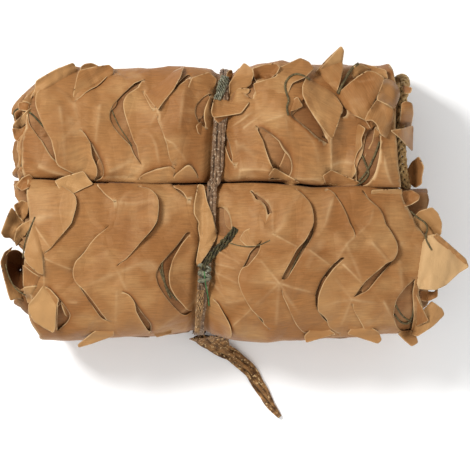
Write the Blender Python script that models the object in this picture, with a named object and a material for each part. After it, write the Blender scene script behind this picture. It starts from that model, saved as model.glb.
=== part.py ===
"""A leaf-cut camouflage net, packed: wound from both ends into two rolls that lie side by side on one flat
back layer, with its leaf-cut cloth outside, and tied once round the middle with a flat strap.

Metres, +Z up. The origin is on the flat underside, near its middle. X runs along the rolls, the near roll
lies on the -Y side and the far roll on the +Y side.

Every piece is first worked out in a straight bundle, whose section is the same all along X. One function,
settle, then moves the points to where the strap's pull and the soft ends leave them, so that pieces which
are clear of each other in the straight bundle stay clear.
"""

import math
from collections import namedtuple

import bmesh
import bpy
import numpy as np
from mathutils import Vector
from mathutils.geometry import delaunay_2d_cdt

MM = 0.001

# The two rolls, by the outer face of their cloth.
Roll = namedtuple("Roll", "centre_y half_width half_height")
NEAR_ROLL = Roll(-0.0500, 0.0600, 0.052)
FAR_ROLL = Roll(0.0605, 0.0455, 0.048)
ROUNDNESS = 2.7  # power of the rolls' outline: 2 is an ellipse, more is squarer
UNDERSIDE_DEPTH = 1.12  # the lower half is drawn this much deeper, then pressed flat on the surface
CREASE_Y = 0.0125  # the plane where the two rolls meet
NEAR_SHOULDER, FAR_SHOULDER = -0.104, 0.100  # where each roll's upper face turns down into its side
LEFT_END, NEAR_RIGHT_END, FAR_RIGHT_END = -0.164, 0.147, 0.124  # ends of the wound net along X

# Sheets and gaps.
CLOTH = 0.0016
CLOTH_GAP = 0.0022  # between the leaf cloth and the net wound inside it
LAYER = 0.0085  # one turn of the net, which is several thin layers pressed together
LAYER_GAP = 0.0020
INNERMOST = 0.0095  # the smallest half width that a turn can have

# The strap round the middle and its groove.
TIE_X, TIE_SLANT = -0.018, 0.10  # where the strap crosses Y = 0, and how far it leans along X for each Y
STRAP_WIDTH, STRAP_THICK, STRAP_GAP = 0.0095, 0.0020, 0.0006
PINCH_REACH, PINCH_TOP, PINCH_SIDE = 0.036, 0.0060, 0.0045
GROOVE_REACH, GROOVE_LIFT = 0.014, 0.0036  # the strap's own groove in the underside
UNDER_STRAP = 0.0060  # half width of the level floor of both

ROPE_DIAMETER = 0.0080

# How the tied bundle differs from a straight one.
LEFT_SOFT, LEFT_SOFT_REACH = -0.130, 0.045  # where the soft ends begin to shrink, and over how long
RIGHT_SOFT, RIGHT_SOFT_REACH = 0.095, 0.060
LEFT_LOWER, LEFT_NARROWER, RIGHT_LOWER, RIGHT_NARROWER = 0.05, 0.045, 0.07, 0.05  # as shares of the size
CREASE_LEAN, CREASE_LEAN_REACH = 0.019, 0.11  # the crease runs a little askew to X
SWAY, SWAY_RATE = 0.0022, 36  # how far the rolls sway sideways, and the waves' rate along X
# The swell of the upper face, as waves: share of the height, rates along X and across, and phase.
Wave = namedtuple("Wave", "share along across phase")
SWELLS = (Wave(0.022, 31, 14, 0.6), Wave(0.012, 67, -9, 0.0))


def smooth(value):
    """0 below 0, 1 above 1, and a soft step between."""
    value = np.clip(value, 0.0, 1.0)
    return value * value * (3.0 - 2.0 * value)


# ---------------------------------------------------------------- the bundle's section and its settling


def roll_point(roll, angle, inset):
    """(y, z) on a roll's outline, at an angle from +Y towards +Z and an inset from the outer face."""
    cosine, sine = math.cos(angle), math.sin(angle)
    depth = roll.half_height * (UNDERSIDE_DEPTH if sine < 0 else 1.0)
    power = 2.0 / ROUNDNESS
    y = roll.centre_y + (roll.half_width - inset) * math.copysign(abs(cosine) ** power, cosine)
    z = roll.half_height + (depth - inset) * math.copysign(abs(sine) ** power, sine)
    return y, max(z, inset)


def strap_centre(y):
    """Where the strap lies along X, at a place across the bundle."""
    return TIE_X + TIE_SLANT * y


def settle(points):
    """Moves points of the straight bundle to their place in the tied one, with the underside still flat."""
    x, y, z = np.asarray(points, float).T
    off = np.abs(x - strap_centre(y))
    pinch = smooth((PINCH_REACH - off) / (PINCH_REACH - UNDER_STRAP))
    groove = smooth((GROOVE_REACH - off) / (GROOVE_REACH - UNDER_STRAP))
    high = z / (2 * NEAR_ROLL.half_height)
    wide = y / (FAR_ROLL.centre_y + FAR_ROLL.half_width)
    left = smooth((LEFT_SOFT - x) / LEFT_SOFT_REACH)
    right = smooth((x - RIGHT_SOFT) / RIGHT_SOFT_REACH)
    crease = np.clip(1.0 - np.abs(y - CREASE_Y) / CREASE_LEAN_REACH, 0.0, 1.0)
    swell = sum(wave.share * np.sin(wave.along * x + wave.across * y + wave.phase) for wave in SWELLS)
    new_z = z * (1 + swell)
    new_z = new_z * (1 - LEFT_LOWER * left - RIGHT_LOWER * right) - PINCH_TOP * pinch * high
    new_z = new_z + GROOVE_LIFT * groove * np.clip(1.0 - 2.2 * high, 0.0, 1.0)
    new_y = y * (1 - LEFT_NARROWER * left - RIGHT_NARROWER * right) - PINCH_SIDE * pinch * wide
    new_y = new_y - CREASE_LEAN * x * crease + SWAY * np.sin(SWAY_RATE * x + 1.2) * high * np.sign(y)
    return np.stack([x, new_y, new_z], axis=1)


class Section:
    """The bundle's outline: from the foot of the crease over the near roll, under both, over the far one."""

    STEP = math.radians(1.5)
    CREASE_DIP = math.radians(24)  # how far below a roll's widest place the cloth is tucked in

    def __init__(self, inset):
        near = np.arange(-self.CREASE_DIP, math.radians(270), self.STEP)
        far = np.arange(math.radians(-90), math.radians(180) + self.CREASE_DIP, self.STEP)
        points = [roll_point(NEAR_ROLL, angle, inset) for angle in near]
        points += [roll_point(FAR_ROLL, angle, inset) for angle in far]
        self.points = np.array(points)
        steps = np.linalg.norm(np.diff(self.points, axis=0), axis=1)
        self.arc = np.concatenate([[0.0], np.cumsum(steps)])
        self.length = float(self.arc[-1])
        self.near_count = len(near)
        # The outward direction, averaged over a short stretch so that it turns softly at the flat's edges.
        fine = np.linspace(0, self.length, 900)
        run = np.stack([np.gradient(np.interp(fine, self.arc, side)) for side in self.points.T], axis=1)
        box = np.ones(7) / 7
        padded = [np.pad(side, 3, mode="edge") for side in run.T]
        run = np.stack([np.convolve(side, box, "valid") for side in padded], axis=1)
        run /= np.linalg.norm(run, axis=1)[:, None]
        self.fine, self.out = fine, np.stack([run[:, 1], -run[:, 0]], axis=1)

    def at(self, arc, height=0.0):
        """(y, z) at an arc length, a height off the outline."""
        y, z = (np.interp(arc, self.arc, self.points[:, k]) for k in (0, 1))
        out_y, out_z = (np.interp(arc, self.fine, self.out[:, k]) for k in (0, 1))
        return y + height * out_y, z + height * out_z

    def arc_at(self, y):
        """The arc length at a place across the upper face. Past a shoulder it runs on down the side."""
        near = y < CREASE_Y
        first, last = (0, self.near_count) if near else (self.near_count, len(self.points))
        ys, arcs = self.points[first:last, 0], self.arc[first:last]
        roll, shoulder = (NEAR_ROLL, NEAR_SHOULDER) if near else (FAR_ROLL, FAR_SHOULDER)
        upper = self.points[first:last, 1] >= roll.half_height
        inside = max(y, shoulder) if near else min(y, shoulder)
        arc = float(np.interp(-inside, -ys[upper], arcs[upper]))
        return arc + (inside - y)


SECTION = Section(CLOTH / 2)

# ---------------------------------------------------------------- the cuts of the leaf cloth

# Each cut has two legs that meet at a rounded corner. The cloth between its legs is a leaf, which stands
# up at the corner. Columns, in mm: the cut's start, corner and end, as x along the rolls and y across the
# upper face and on down the side, then how far the cut gapes and how high the leaf's tip lifts.
Cut = namedtuple("Cut", "x0 y0 x1 y1 x2 y2 gape lift")
NEAR_FACE = (
    Cut(-141, 5, -127, -12, -154, -46, 5, 5),
    Cut(-119, 3, -104, -5, -93, -17, 4, 3),
    Cut(-101, -22, -130, -61, -99, -94, 7, 6),
    Cut(-79, 5, -60, -14, -95, -54, 6, 5),
    Cut(-82, -80, -71, -87, -66, -98, 5, 3),
    Cut(-54, 5, -43, -1, -35, -9, 5, 3),
    Cut(-38, -27, -67, -60, -37, -93, 12, 5),
    Cut(-15, -43, 2, -32, 6, -51, 5, 4),
    Cut(8, 5, 21, -3, 31, -18, 6, 4),
    Cut(22, -33, 2, -66, 29, -99, 5, 5),
    Cut(47, 5, 63, -25, 39, -66, 9, 5),
    Cut(40, -74, 46, -88, 61, -103, 4, 3),
    Cut(71, 5, 79, -9, 95, -31, 4, 4),
    Cut(87, -46, 62, -80, 88, -107, 5, 6),
    Cut(101, 4, 128, -38, 94, -76, 9, 5),
    Cut(97, -85, 106, -94, 117, -107, 4, 3),
    Cut(136, -62, 124, -84, 137, -100, 10, 6),
    Cut(126, 1, 147, -26, 137, -44, 6, 5),
    Cut(-154, -70, -133, -92, -152, -103, 5, 5),
)
FAR_FACE = (
    Cut(-142, 94, -162, 74, -133, 36, 7, 5),
    Cut(-124, 58, -105, 32, -113, 18, 7, 4),
    Cut(-128, 90, -98, 100, -129, 77, 5, 6),
    Cut(-69, 92, -100, 71, -74, 33, 8, 5),
    Cut(-61, 100, -41, 108, -56, 76, 6, 9),
    Cut(-62, 64, -57, 47, -45, 30, 4, 3),
    Cut(-50, 20, -37, 33, -30, 20, 4, 3),
    Cut(-1, 87, 14, 78, 1, 64, 6, 5),
    Cut(0, 99, 9, 114, 17, 98, 5, 9),
    Cut(15, 59, 45, 31, 36, 18, 5, 4),
    Cut(26, 92, 31, 82, 42, 72, 5, 3),
    Cut(54, 84, 76, 46, 86, 70, 8, 5),
    Cut(66, 99, 84, 120, 90, 99, 5, 12),
    Cut(94, 84, 110, 57, 127, 84, 8, 9),
    Cut(104, 44, 98, 33, 103, 20, 5, 3),
)
# The same cuts repeat down the sides, in mm, where the sheet's own pattern isn't pulled about.
PITCH_ALONG, CUT_WIDTH, CUT_HEIGHT, STAGGER = 32, 22, 40, 6
FIRST_COLUMN, LAST_COLUMN = 22, 2  # how far inside the ends of the net the repeat starts and stops
SIDE_GAPE, SIDE_LIFT = 5, 5
CLEAR_OF_STRAP = 30
NEAR_SIDE_CUTS, FAR_SIDE_CUTS = (0.026, 0.066), (-0.066, -0.022)  # arc lengths from each shoulder
TIPS_DOWN = (  # leaf tips that break the near side's outline
    Cut(-107, -107, -123, -124, -128, -107, 5, 9),
    Cut(129, -108, 140, -121, 148, -108, 4, 6),
)

# How far the cloth's cut ends reach: (x, y across the upper face) down each end, in mm.
RIGHT_FAR_END = (
    (133, 112), (140, 98), (139, 86), (143, 76), (143, 62), (141, 48), (144, 34), (151, 24), (146, 14),
)  # fmt: skip
RIGHT_NEAR_END = (
    (139, 4), (146, -6), (165, -15), (163, -31), (176, -42), (187, -54), (173, -66), (161, -72),
    (158, -84), (169, -94), (158, -104), (146, -110),
)  # fmt: skip
LEFT_FAR_END = (
    (-166, 108), (-162, 96), (-172, 80), (-176, 67), (-179, 56), (-172, 42), (-175, 28), (-171, 15),
)  # fmt: skip
LEFT_NEAR_END = (
    (-174, 5), (-181, -8), (-187, -28), (-177, -38), (-186, -50), (-184, -64), (-177, -80), (-166, -92),
    (-168, -106), (-172, -114),
)  # fmt: skip
TOOTH_PITCH, TOOTH_REACH = 0.046, 0.011  # the leaf ends along the sides and the underside
LEFT_TEETH_X, RIGHT_TEETH_X = LEFT_END - 0.005, 0.140

ALONG_PITCH, ACROSS_PITCH, FLAT_PITCH = 0.0175, 0.0095, 0.024  # the sheet's own grid of points
GRID_LEFT, GRID_RIGHT = -0.185, 0.190
GROOVE_FLOOR, GRID_CLEAR_OF_STRAP = 0.0055, 0.020  # the grid follows the strap's groove, on both its sides
CLEAR_OF_CUTS = 0.0030  # grid points stay this far from a cut, so that no sliver is left

# The sheet lies flat under the strap, in the crease and on the floor, and ripples elsewhere.
FLAT_AT_STRAP, FLAT_AT_CREASE, FLAT_AT_FLOOR = 0.008, 0.003, 0.004
LONG_RIPPLE, SHORT_RIPPLE = 0.0007, 0.0005
LEFT_HANGS, RIGHT_HANGS, HANG_RATE = LEFT_END - 0.006, 0.150, 9.0  # past these the cut ends hang down


def corner_points(cut, arc_of):
    """The three points of a cut on the flat cloth: (along X, arc length)."""
    rows = ((cut.x0, cut.y0), (cut.x1, cut.y1), (cut.x2, cut.y2))
    return [np.array([x * MM, arc_of(y)]) for x, y in rows]


def leaf_edge(start, corner, end, rounding=0.28):
    """The leaf's own edge, as seven points from start to end with the corner rounded."""
    into, out = corner + rounding * (start - corner), corner + rounding * (end - corner)
    crown = 0.25 * into + 0.5 * corner + 0.25 * out
    return [start, 0.5 * (start + into), into, crown, out, 0.5 * (out + end), end]


def far_edge(edge, gape):
    """The other side of the cut, from its end back to its start: widest at the corner, closed at the ends."""
    middle = 0.5 * (edge[0] + edge[-1])
    share = (0.0, 0.62, 0.95, 1.0, 0.95, 0.62, 0.0)  # of the gape, at each point of the edge
    found = []
    for index in (5, 4, 3, 2, 1):
        run = edge[index + 1] - edge[index - 1]
        side = np.array([run[1], -run[0]]) / np.linalg.norm(run)
        if np.dot(side, edge[3] - middle) < 0:
            side = -side
        found.append(edge[index] + side * gape * share[index])
    return found


def inside(point, ring):
    """Whether a point of the flat cloth is inside a ring of points."""
    x, y = point
    odd = False
    for (x0, y0), (x1, y1) in zip(ring, ring[1:] + ring[:1]):
        if (y0 > y) != (y1 > y) and x < x0 + (y - y0) * (x1 - x0) / (y1 - y0):
            odd = not odd
    return odd


def distance_to_edge(point, start, end):
    """How far a point of the flat cloth is from a straight edge."""
    along = end - start
    share = np.clip(np.dot(point - start, along) / np.dot(along, along), 0.0, 1.0)
    return float(np.linalg.norm(point - start - share * along))


def side_cuts(first_arc, last_arc):
    """The repeat of cuts between two arc lengths down a side, turned left and right by turns."""
    found = []
    first, last = int(LEFT_END / MM) + FIRST_COLUMN, int(FAR_RIGHT_END / MM) - LAST_COLUMN
    height = min(CUT_HEIGHT * MM, last_arc - first_arc)
    for column, x in enumerate(range(first, last, PITCH_ALONG)):
        if abs(x - TIE_X / MM) < CLEAR_OF_STRAP:
            continue
        top = first_arc + (STAGGER * MM if column % 2 else 0.0)
        turn = 1 if column % 2 else -1
        points = [
            np.array([(x - turn * CUT_WIDTH / 2) * MM, top]),
            np.array([(x + turn * CUT_WIDTH / 2) * MM, top + 0.5 * height]),
            np.array([(x - turn * CUT_WIDTH / 2) * MM, top + height]),
        ]
        found.append((points, SIDE_GAPE * MM, SIDE_LIFT * MM))
    return found


def all_cuts():
    """Every cut of the cloth as (three points, gape, lift)."""
    found = []
    for cut in NEAR_FACE + FAR_FACE + TIPS_DOWN:
        points = corner_points(cut, lambda y: SECTION.arc_at(y * MM))
        found.append((points, cut.gape * MM, cut.lift * MM))
    for shoulder, (first, last) in ((NEAR_SHOULDER, NEAR_SIDE_CUTS), (FAR_SHOULDER, FAR_SIDE_CUTS)):
        arc = SECTION.arc_at(shoulder)
        found += side_cuts(arc + first, arc + last)
    return found


def toothed_end(end_x, first_arc, last_arc, outward):
    """Leaf-shaped teeth along one end of the cloth, between two arc lengths."""
    count = max(1, round((last_arc - first_arc) / TOOTH_PITCH))
    size = (last_arc - first_arc) / count
    found = []
    for tooth in range(count):
        base = first_arc + size * tooth
        reach = TOOTH_REACH * (1.0 + 0.35 * math.sin(2.3 * tooth + 1.0))
        for share, out in ((0.05, 0.15), (0.32, 0.8), (0.55, 1.0), (0.78, 0.7)):
            found.append(np.array([end_x + outward * reach * out, base + share * size]))
    return found


def cloth_outline():
    """The ring of the flat cloth: up the left end and back down the right one."""

    def face(rows):
        return [np.array([x * MM, SECTION.arc_at(y * MM)]) for x, y in rows]

    def end(near_rows, far_rows, teeth_x, outward):
        near, far = face(near_rows), face(far_rows)
        return near + toothed_end(teeth_x, near[-1][1] + 0.010, far[0][1] - 0.012, outward) + far

    left = end(LEFT_NEAR_END, LEFT_FAR_END, LEFT_TEETH_X, -1)
    right = end(RIGHT_NEAR_END, RIGHT_FAR_END, RIGHT_TEETH_X, 1)
    first = [np.array([left[0][0], 0.0]), np.array([right[0][0], 0.0])]
    last = [np.array([right[-1][0], SECTION.length]), np.array([left[-1][0], SECTION.length])]
    return first + right + last + left[::-1]


def cloth_grid(rings):
    """Grid points of the flat cloth, staggered, clear of every cut and of the cloth's own edge."""
    outline, holes = rings[0], rings[1:]
    on_floor = SECTION.arc[SECTION.points[:, 1] <= CLOTH / 2 + 1e-6]
    flat_first, flat_last = on_floor[0], on_floor[-1]
    arcs = list(np.arange(ACROSS_PITCH, flat_first, ACROSS_PITCH))
    arcs += list(np.arange(flat_first + 0.001, flat_last, FLAT_PITCH))
    arcs += list(np.arange(flat_last - 0.001, SECTION.length - 0.004, ACROSS_PITCH))
    edges = [(a, b) for ring in rings for a, b in zip(ring, ring[1:] + ring[:1])]
    boxes = [(np.minimum(a, b) - CLEAR_OF_CUTS, np.maximum(a, b) + CLEAR_OF_CUTS) for a, b in edges]
    found = []
    for row, arc in enumerate(arcs):
        crossing = strap_centre(float(SECTION.at(arc)[0]))
        near_strap = [crossing + step for step in (-GROOVE_REACH, -GROOVE_FLOOR, GROOVE_FLOOR, GROOVE_REACH)]
        stagger = 0.5 * ALONG_PITCH * (row % 2)
        columns = np.arange(GRID_LEFT + stagger, GRID_RIGHT, ALONG_PITCH)
        for x in [x for x in columns if abs(x - crossing) > GRID_CLEAR_OF_STRAP] + near_strap:
            point = np.array([x, arc])
            if not inside(point, outline) or any(inside(point, ring) for ring in holes):
                continue
            close = (
                distance_to_edge(point, *edge) < CLEAR_OF_CUTS
                for edge, (low, high) in zip(edges, boxes)
                if (point >= low).all() and (point <= high).all()
            )
            if not any(close):
                found.append(point)
    return found


def triangulate(rings, extra):
    """Points and triangles of the flat cloth, with every ring after the first cut out."""
    points = [point for ring in rings for point in ring] + extra
    edges, start = [], 0
    for ring in rings:
        edges += [(start + k, start + (k + 1) % len(ring)) for k in range(len(ring))]
        start += len(ring)
    result = delaunay_2d_cdt([Vector(point) for point in points], edges, [], 0, 1e-7)
    places = [np.array(point) for point in result[0]]
    kept = []
    for face in result[2]:
        middle = sum(places[k] for k in face) / 3
        if inside(middle, rings[0]) and not any(inside(middle, ring) for ring in rings[1:]):
            kept.append(tuple(face))
    return np.array(places), kept


def leaf_lift(point, leaves):
    """How high the leaves hold the cloth at a point: nothing at a leaf's root, all of it at its tip."""
    height = 0.0
    for edge, lift in leaves:
        low, high = edge.min(axis=0) - 1e-6, edge.max(axis=0) + 1e-6
        if (point < low).any() or (point > high).any():
            continue
        on_edge = np.abs(edge - point).sum(axis=1).min() < 1e-6
        if not on_edge and not inside(point, [tuple(row) for row in edge]):
            continue
        start, tip, end = edge[0], edge[3], edge[6]
        root = (end - start) / np.linalg.norm(end - start)
        away = np.array([root[1], -root[0]])
        share = abs(np.dot(point - start, away)) / abs(np.dot(tip - start, away))
        height = max(height, lift * min(share, 1.0) ** 1.6)
    return height


def leaf_cloth():
    """The outer turn of leaf-cut cloth, as one sheet with its cuts open."""
    rings, leaves = [cloth_outline()], []
    for points, gape, lift in all_cuts():
        edge = leaf_edge(*points)
        rings.append(edge + far_edge(edge, gape))
        leaves.append((np.array(edge), lift))
    flat, faces = triangulate(rings, cloth_grid(rings))
    arc, x = flat[:, 1], flat[:, 0]
    y, z = SECTION.at(arc)
    lift = np.array([leaf_lift(point, leaves) for point in flat])
    clear = smooth((np.abs(x - strap_centre(y)) - FLAT_AT_STRAP) / 0.006)
    tucked = smooth((np.abs(y - CREASE_Y) - FLAT_AT_CREASE) / 0.012)
    upper = smooth((z - FLAT_AT_FLOOR) / 0.012)
    ripple = LONG_RIPPLE * (1 + np.sin(150 * x + 60 * arc)) + SHORT_RIPPLE * (1 + np.sin(230 * arc - 90 * x))
    height = (lift + ripple) * clear * tucked * upper
    past_end = np.maximum(np.maximum(LEFT_HANGS - x, x - RIGHT_HANGS), 0.0)
    height = height - HANG_RATE * past_end**2 * (1 - 0.5 * upper * tucked)
    sides = []
    for offset in (CLOTH / 2, -CLOTH / 2):
        side_y, side_z = SECTION.at(arc, height + offset)
        sides.append(settle(np.stack([x, side_y, side_z], axis=1)))
    count = len(flat)
    edge_use = {}
    for a, b, c in faces:
        for edge in ((a, b), (b, c), (c, a)):
            edge_use[edge] = edge_use.get(edge, 0) + 1
    rims = [(a, b) for a, b in edge_use if (b, a) not in edge_use]
    solid = [face[::-1] for face in faces] + [tuple(k + count for k in face) for face in faces]
    solid += [tri for a, b in rims for tri in ((a, b, b + count), (a, b + count, a + count))]
    return add_mesh("leaf_cloth", np.concatenate(sides), solid, TAN_CLOTH)


# ---------------------------------------------------------------- the wound net


STEP_START, STEP_END = math.radians(240), math.radians(315)  # the part of a turn that steps inwards


def wound_line(roll, turning):
    """Mid line of the net from the back layer to the roll's middle. turning is -1 or 1, as the angle runs.

    Each turn keeps its distance to the one outside it, and steps inwards by one layer on its way down the
    crease side to the back layer.
    """
    outer = CLOTH + CLOTH_GAP + LAYER / 2
    pitch = LAYER + LAYER_GAP
    smallest = min(roll.half_width, roll.half_height)
    found, turned = [], 0.0
    while True:
        turn, part = divmod(turned, 2 * math.pi)
        inset = outer + pitch * (turn + float(smooth((part - STEP_START) / (STEP_END - STEP_START))))
        if smallest - inset < INNERMOST:
            return found
        found.append(roll_point(roll, -math.pi / 2 + turning * turned, inset))
        turned += math.radians(16 + 5 * turn)


END_SWAY = 0.004  # how far the turns' ends stand out of line


def net_roll():
    """The net as one long layer, wound into both rolls from its two ends."""
    line = np.array(wound_line(NEAR_ROLL, -1)[::-1] + wound_line(FAR_ROLL, 1))
    run = np.gradient(line, axis=0)
    run /= np.linalg.norm(run, axis=1)[:, None]
    out = np.stack([run[:, 1], -run[:, 0]], axis=1)
    sides = [line + out * LAYER / 2, line - out * LAYER / 2]
    row = np.arange(len(line))
    near = smooth((0.020 - line[:, 0]) / 0.016)
    right = FAR_RIGHT_END + (NEAR_RIGHT_END - FAR_RIGHT_END) * near + END_SWAY * np.sin(0.9 * row)
    left = LEFT_END + END_SWAY * np.sin(0.7 * row + 1.0)
    points, count = [], len(line)
    strap = strap_centre(line[:, 0])
    stations = [left, 0.5 * (left + strap - PINCH_REACH)]
    stations += [strap + share * PINCH_REACH for share in (-1, -0.5, 0, 0.5, 1)]
    stations += [0.5 * (right + strap + PINCH_REACH), right]
    for x in stations:
        for side in sides:
            points.append(settle(np.stack([x, side[:, 0], side[:, 1]], axis=1)))
    faces = []
    for k in range(count - 1):
        first, last = 0, 2 * count * (len(stations) - 1)
        faces.append((first + k, first + k + 1, first + count + k + 1, first + count + k))
        faces.append((last + k, last + count + k, last + count + k + 1, last + k + 1))
    for station in range(len(stations) - 1):
        here, after = 2 * count * station, 2 * count * (station + 1)
        for side in (0, count):
            for k in range(count - 1):
                a, b = here + side + k, after + side + k
                faces.append((a, b, b + 1, a + 1))
        for k in (0, count - 1):
            faces.append((here + k, after + k, after + count + k, here + count + k))
    return add_mesh("net_roll", np.concatenate(points), faces, UNDER_CLOTH)


# ---------------------------------------------------------------- the tie and the edge rope


def sweep(name, path, wide, out, widths, depths, closed, material, corners=8):
    """A flat, round-edged band along a path. wide and out are its two unit directions at each point."""
    angles = [2 * math.pi * (k + 0.5) / corners for k in range(corners)]
    points, count = [], len(path)
    for place, across, away, width, depth in zip(path, wide, out, widths, depths):
        for angle in angles:
            c, s = math.cos(angle), math.sin(angle)
            c, s = math.copysign(abs(c) ** 0.6, c), math.copysign(abs(s) ** 0.6, s)
            points.append(place + across * width / 2 * c + away * depth / 2 * s)
    faces = []
    for k in range(count if closed else count - 1):
        a, b = k * corners, (k + 1) % count * corners
        faces += [(a + j, a + (j + 1) % corners, b + (j + 1) % corners, b + j) for j in range(corners)]
    if not closed:
        faces.append(tuple(range(corners))[::-1])
        faces.append(tuple(range((count - 1) * corners, count * corners)))
    return add_mesh(name, np.array(points), faces, material)


def directions(path, up, closed):
    """Unit directions across a band and away from its face, from the path and a rough upward direction."""
    if closed:
        run = np.roll(path, -1, axis=0) - np.roll(path, 1, axis=0)
    else:
        run = np.gradient(path, axis=0)
    run /= np.linalg.norm(run, axis=1)[:, None]
    wide = np.cross(run, up)
    wide /= np.linalg.norm(wide, axis=1)[:, None]
    return wide, np.cross(wide, run)


CREASE_SAG = 0.0045  # how far the strap dips where it bridges the crease
RING_POINTS, BRIDGE_POINTS = 84, 9
BUNDLE_MIDDLE = (TIE_X, 0.003, 0.050)


def strap_path():
    """The strap's mid line in the straight bundle, and the outward direction there. It bridges the crease."""
    outer = Section(-(STRAP_GAP + STRAP_THICK / 2))
    near_top, far_top = math.radians(60), math.radians(120)
    leave = outer.arc[round((near_top + outer.CREASE_DIP) / outer.STEP)]
    land = outer.arc[outer.near_count + round((far_top + math.pi / 2) / outer.STEP)]
    arcs = np.linspace(leave, land, RING_POINTS)
    y, z = outer.at(arcs)
    ring = np.stack([strap_centre(y), y, z], axis=1)
    gap = np.linspace(ring[-1], ring[0], BRIDGE_POINTS)[1:-1]
    gap[:, 2] -= CREASE_SAG * np.sin(np.linspace(0, math.pi, BRIDGE_POINTS)[1:-1])
    return np.concatenate([ring, gap])


def tie_strap():
    """The strap: a closed band round both rolls, narrower and twisted where it was pulled tight."""
    path = settle(strap_path())
    wide, out = directions(path, path - np.array(BUNDLE_MIDDLE), True)
    count = len(path)
    turn = np.arange(count) / count * 2 * math.pi
    widths = STRAP_WIDTH * (1 + 0.12 * np.sin(5 * turn))
    return sweep("tie_strap", path, wide, out, widths, np.full(count, STRAP_THICK), True, BROWN_STRAP)


# The loose end, by its mid line on the way down the near side and over the surface: (x, y, z) in mm.
TAIL_ROUTE = (
    (-28, -110.4, 44), (-27, -111.0, 28), (-22, -114.5, 14), (-12, -121.5, 6.0), (-1, -130, 3.2),
    (10, -141, 2.2), (20, -153, 1.8), (29, -165, 1.8), (37, -176, 1.6),
)  # fmt: skip
TAIL_WIDTHS = (0.0110, 0.0130, 0.0150, 0.0150, 0.0130, 0.0100, 0.0085, 0.0075, 0.0050)
TAIL_THICK = 0.0028
TAIL_POINTS = 22
TAIL_UP_FIRST, TAIL_UP_LAST = (0.1, -0.75, 0.66), (0.1, 0.0, 2.16)  # away from its face, at each end


def curve_through(rows, count):
    """Points of a smooth curve through the rows of a route."""
    rows = np.array(rows, float)
    padded = np.concatenate([[2 * rows[0] - rows[1]], rows, [2 * rows[-1] - rows[-2]]])
    found = []
    for share in np.linspace(0, len(rows) - 1 - 1e-9, count):
        k, t = int(share), share - int(share)
        a, b, c, d = padded[k : k + 4]
        square, cube = 2 * a - 5 * b + 4 * c - d, 3 * b - a - 3 * c + d
        found.append(0.5 * (2 * b + (c - a) * t + square * t**2 + cube * t**3))
    return np.array(found)


def tie_tail():
    """The strap's loose end, flat on the surface, with a frayed, narrow tip."""
    path = curve_through(TAIL_ROUTE, TAIL_POINTS) * MM
    widths = curve_through([(width, 0, 0) for width in TAIL_WIDTHS], TAIL_POINTS)[:, 0]
    wide, out = directions(path, np.linspace(TAIL_UP_FIRST, TAIL_UP_LAST, TAIL_POINTS), False)
    depths = np.full(TAIL_POINTS, TAIL_THICK)
    return sweep("tie_tail", path, wide, out, widths, depths, False, BROWN_STRAP)


Knot = namedtuple("Knot", "y length width height")
KNOT = Knot(-0.060, 0.0165, 0.0110, 0.0080)
KNOT_GAP = 0.0004
KNOT_SPOKES, KNOT_RINGS = 14, 9
KNOT_RIDGE = 0.10  # how far the turns stand out, as a share of the width


def tie_knot():
    """The strap's knot on the near roll: a squeezed ball with two turns of strap ridged round it."""
    outer = Section(-(STRAP_GAP + STRAP_THICK + KNOT_GAP + KNOT.height / 2))
    path_y, path_z = outer.at(outer.arc_at(KNOT.y))
    centre = settle([[strap_centre(KNOT.y), path_y, path_z + 0.0006]])[0]
    around, along = KNOT_SPOKES, KNOT_RINGS
    half_length, half_width, half_height = KNOT.length / 2, KNOT.width / 2, 0.9 * KNOT.height / 2
    points = [centre + np.array([0, half_length, 0]), centre - np.array([0, half_length, 0])]
    for ring in range(1, along):
        angle = math.pi * ring / along
        for spoke in range(around):
            spin = 2 * math.pi * spoke / around
            reach = math.sin(angle) ** 0.7 * (1.0 + KNOT_RIDGE * math.cos(2 * spin + 5 * angle))
            across, up = half_width * reach * math.cos(spin), half_height * reach * math.sin(spin)
            points.append(centre + np.array([across, half_length * math.cos(angle), up]))
    faces = []
    for spoke in range(around):
        after = (spoke + 1) % around
        faces.append((0, 2 + after, 2 + spoke))
        last = 2 + (along - 2) * around
        faces.append((1, last + spoke, last + after))
        for ring in range(along - 2):
            a, b = 2 + ring * around, 2 + (ring + 1) * around
            faces.append((a + spoke, a + after, b + after, b + spoke))
    return add_mesh("tie_knot", np.array(points), faces, KNOT_GREEN)


ROPE_TURN = (-48, 198)  # the part of the far roll's end that the rope goes round, in degrees
ROPE_GAP, ROPE_FROM_NET = 0.0012, 0.0095  # to the leaf cloth, and from the wound net's end


def edge_rope():
    """The net's border rope, round the right end of the far roll under the outer cloth."""
    inset = CLOTH + ROPE_GAP + ROPE_DIAMETER / 2
    angles = np.radians(np.linspace(*ROPE_TURN, 40))
    across = np.array([roll_point(FAR_ROLL, angle, inset) for angle in angles])
    x = FAR_RIGHT_END + ROPE_FROM_NET + 0.0022 * np.sin(3 * angles) + 0.004 * smooth((angles - 2.4) / 1.0)
    path = settle(np.stack([x, across[:, 0], across[:, 1]], axis=1))
    centre = np.array([FAR_RIGHT_END + ROPE_DIAMETER, FAR_ROLL.centre_y, FAR_ROLL.half_height])
    wide, out = directions(path, path - centre, False)
    sizes = np.full(len(path), ROPE_DIAMETER)
    return sweep("edge_rope", path, wide, out, sizes, sizes, False, STRAW_ROPE)


# ---------------------------------------------------------------- finishes and the finished model


def finish(name, colour, roughness):
    """A plain Principled material."""
    material = bpy.data.materials.new(name)
    material.use_nodes = True
    shader = material.node_tree.nodes["Principled BSDF"]
    shader.inputs["Base Color"].default_value = (*colour, 1.0)
    shader.inputs["Roughness"].default_value = roughness
    shader.inputs["Metallic"].default_value = 0.0
    material.diffuse_color = (*colour, 1.0)
    return material


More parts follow.
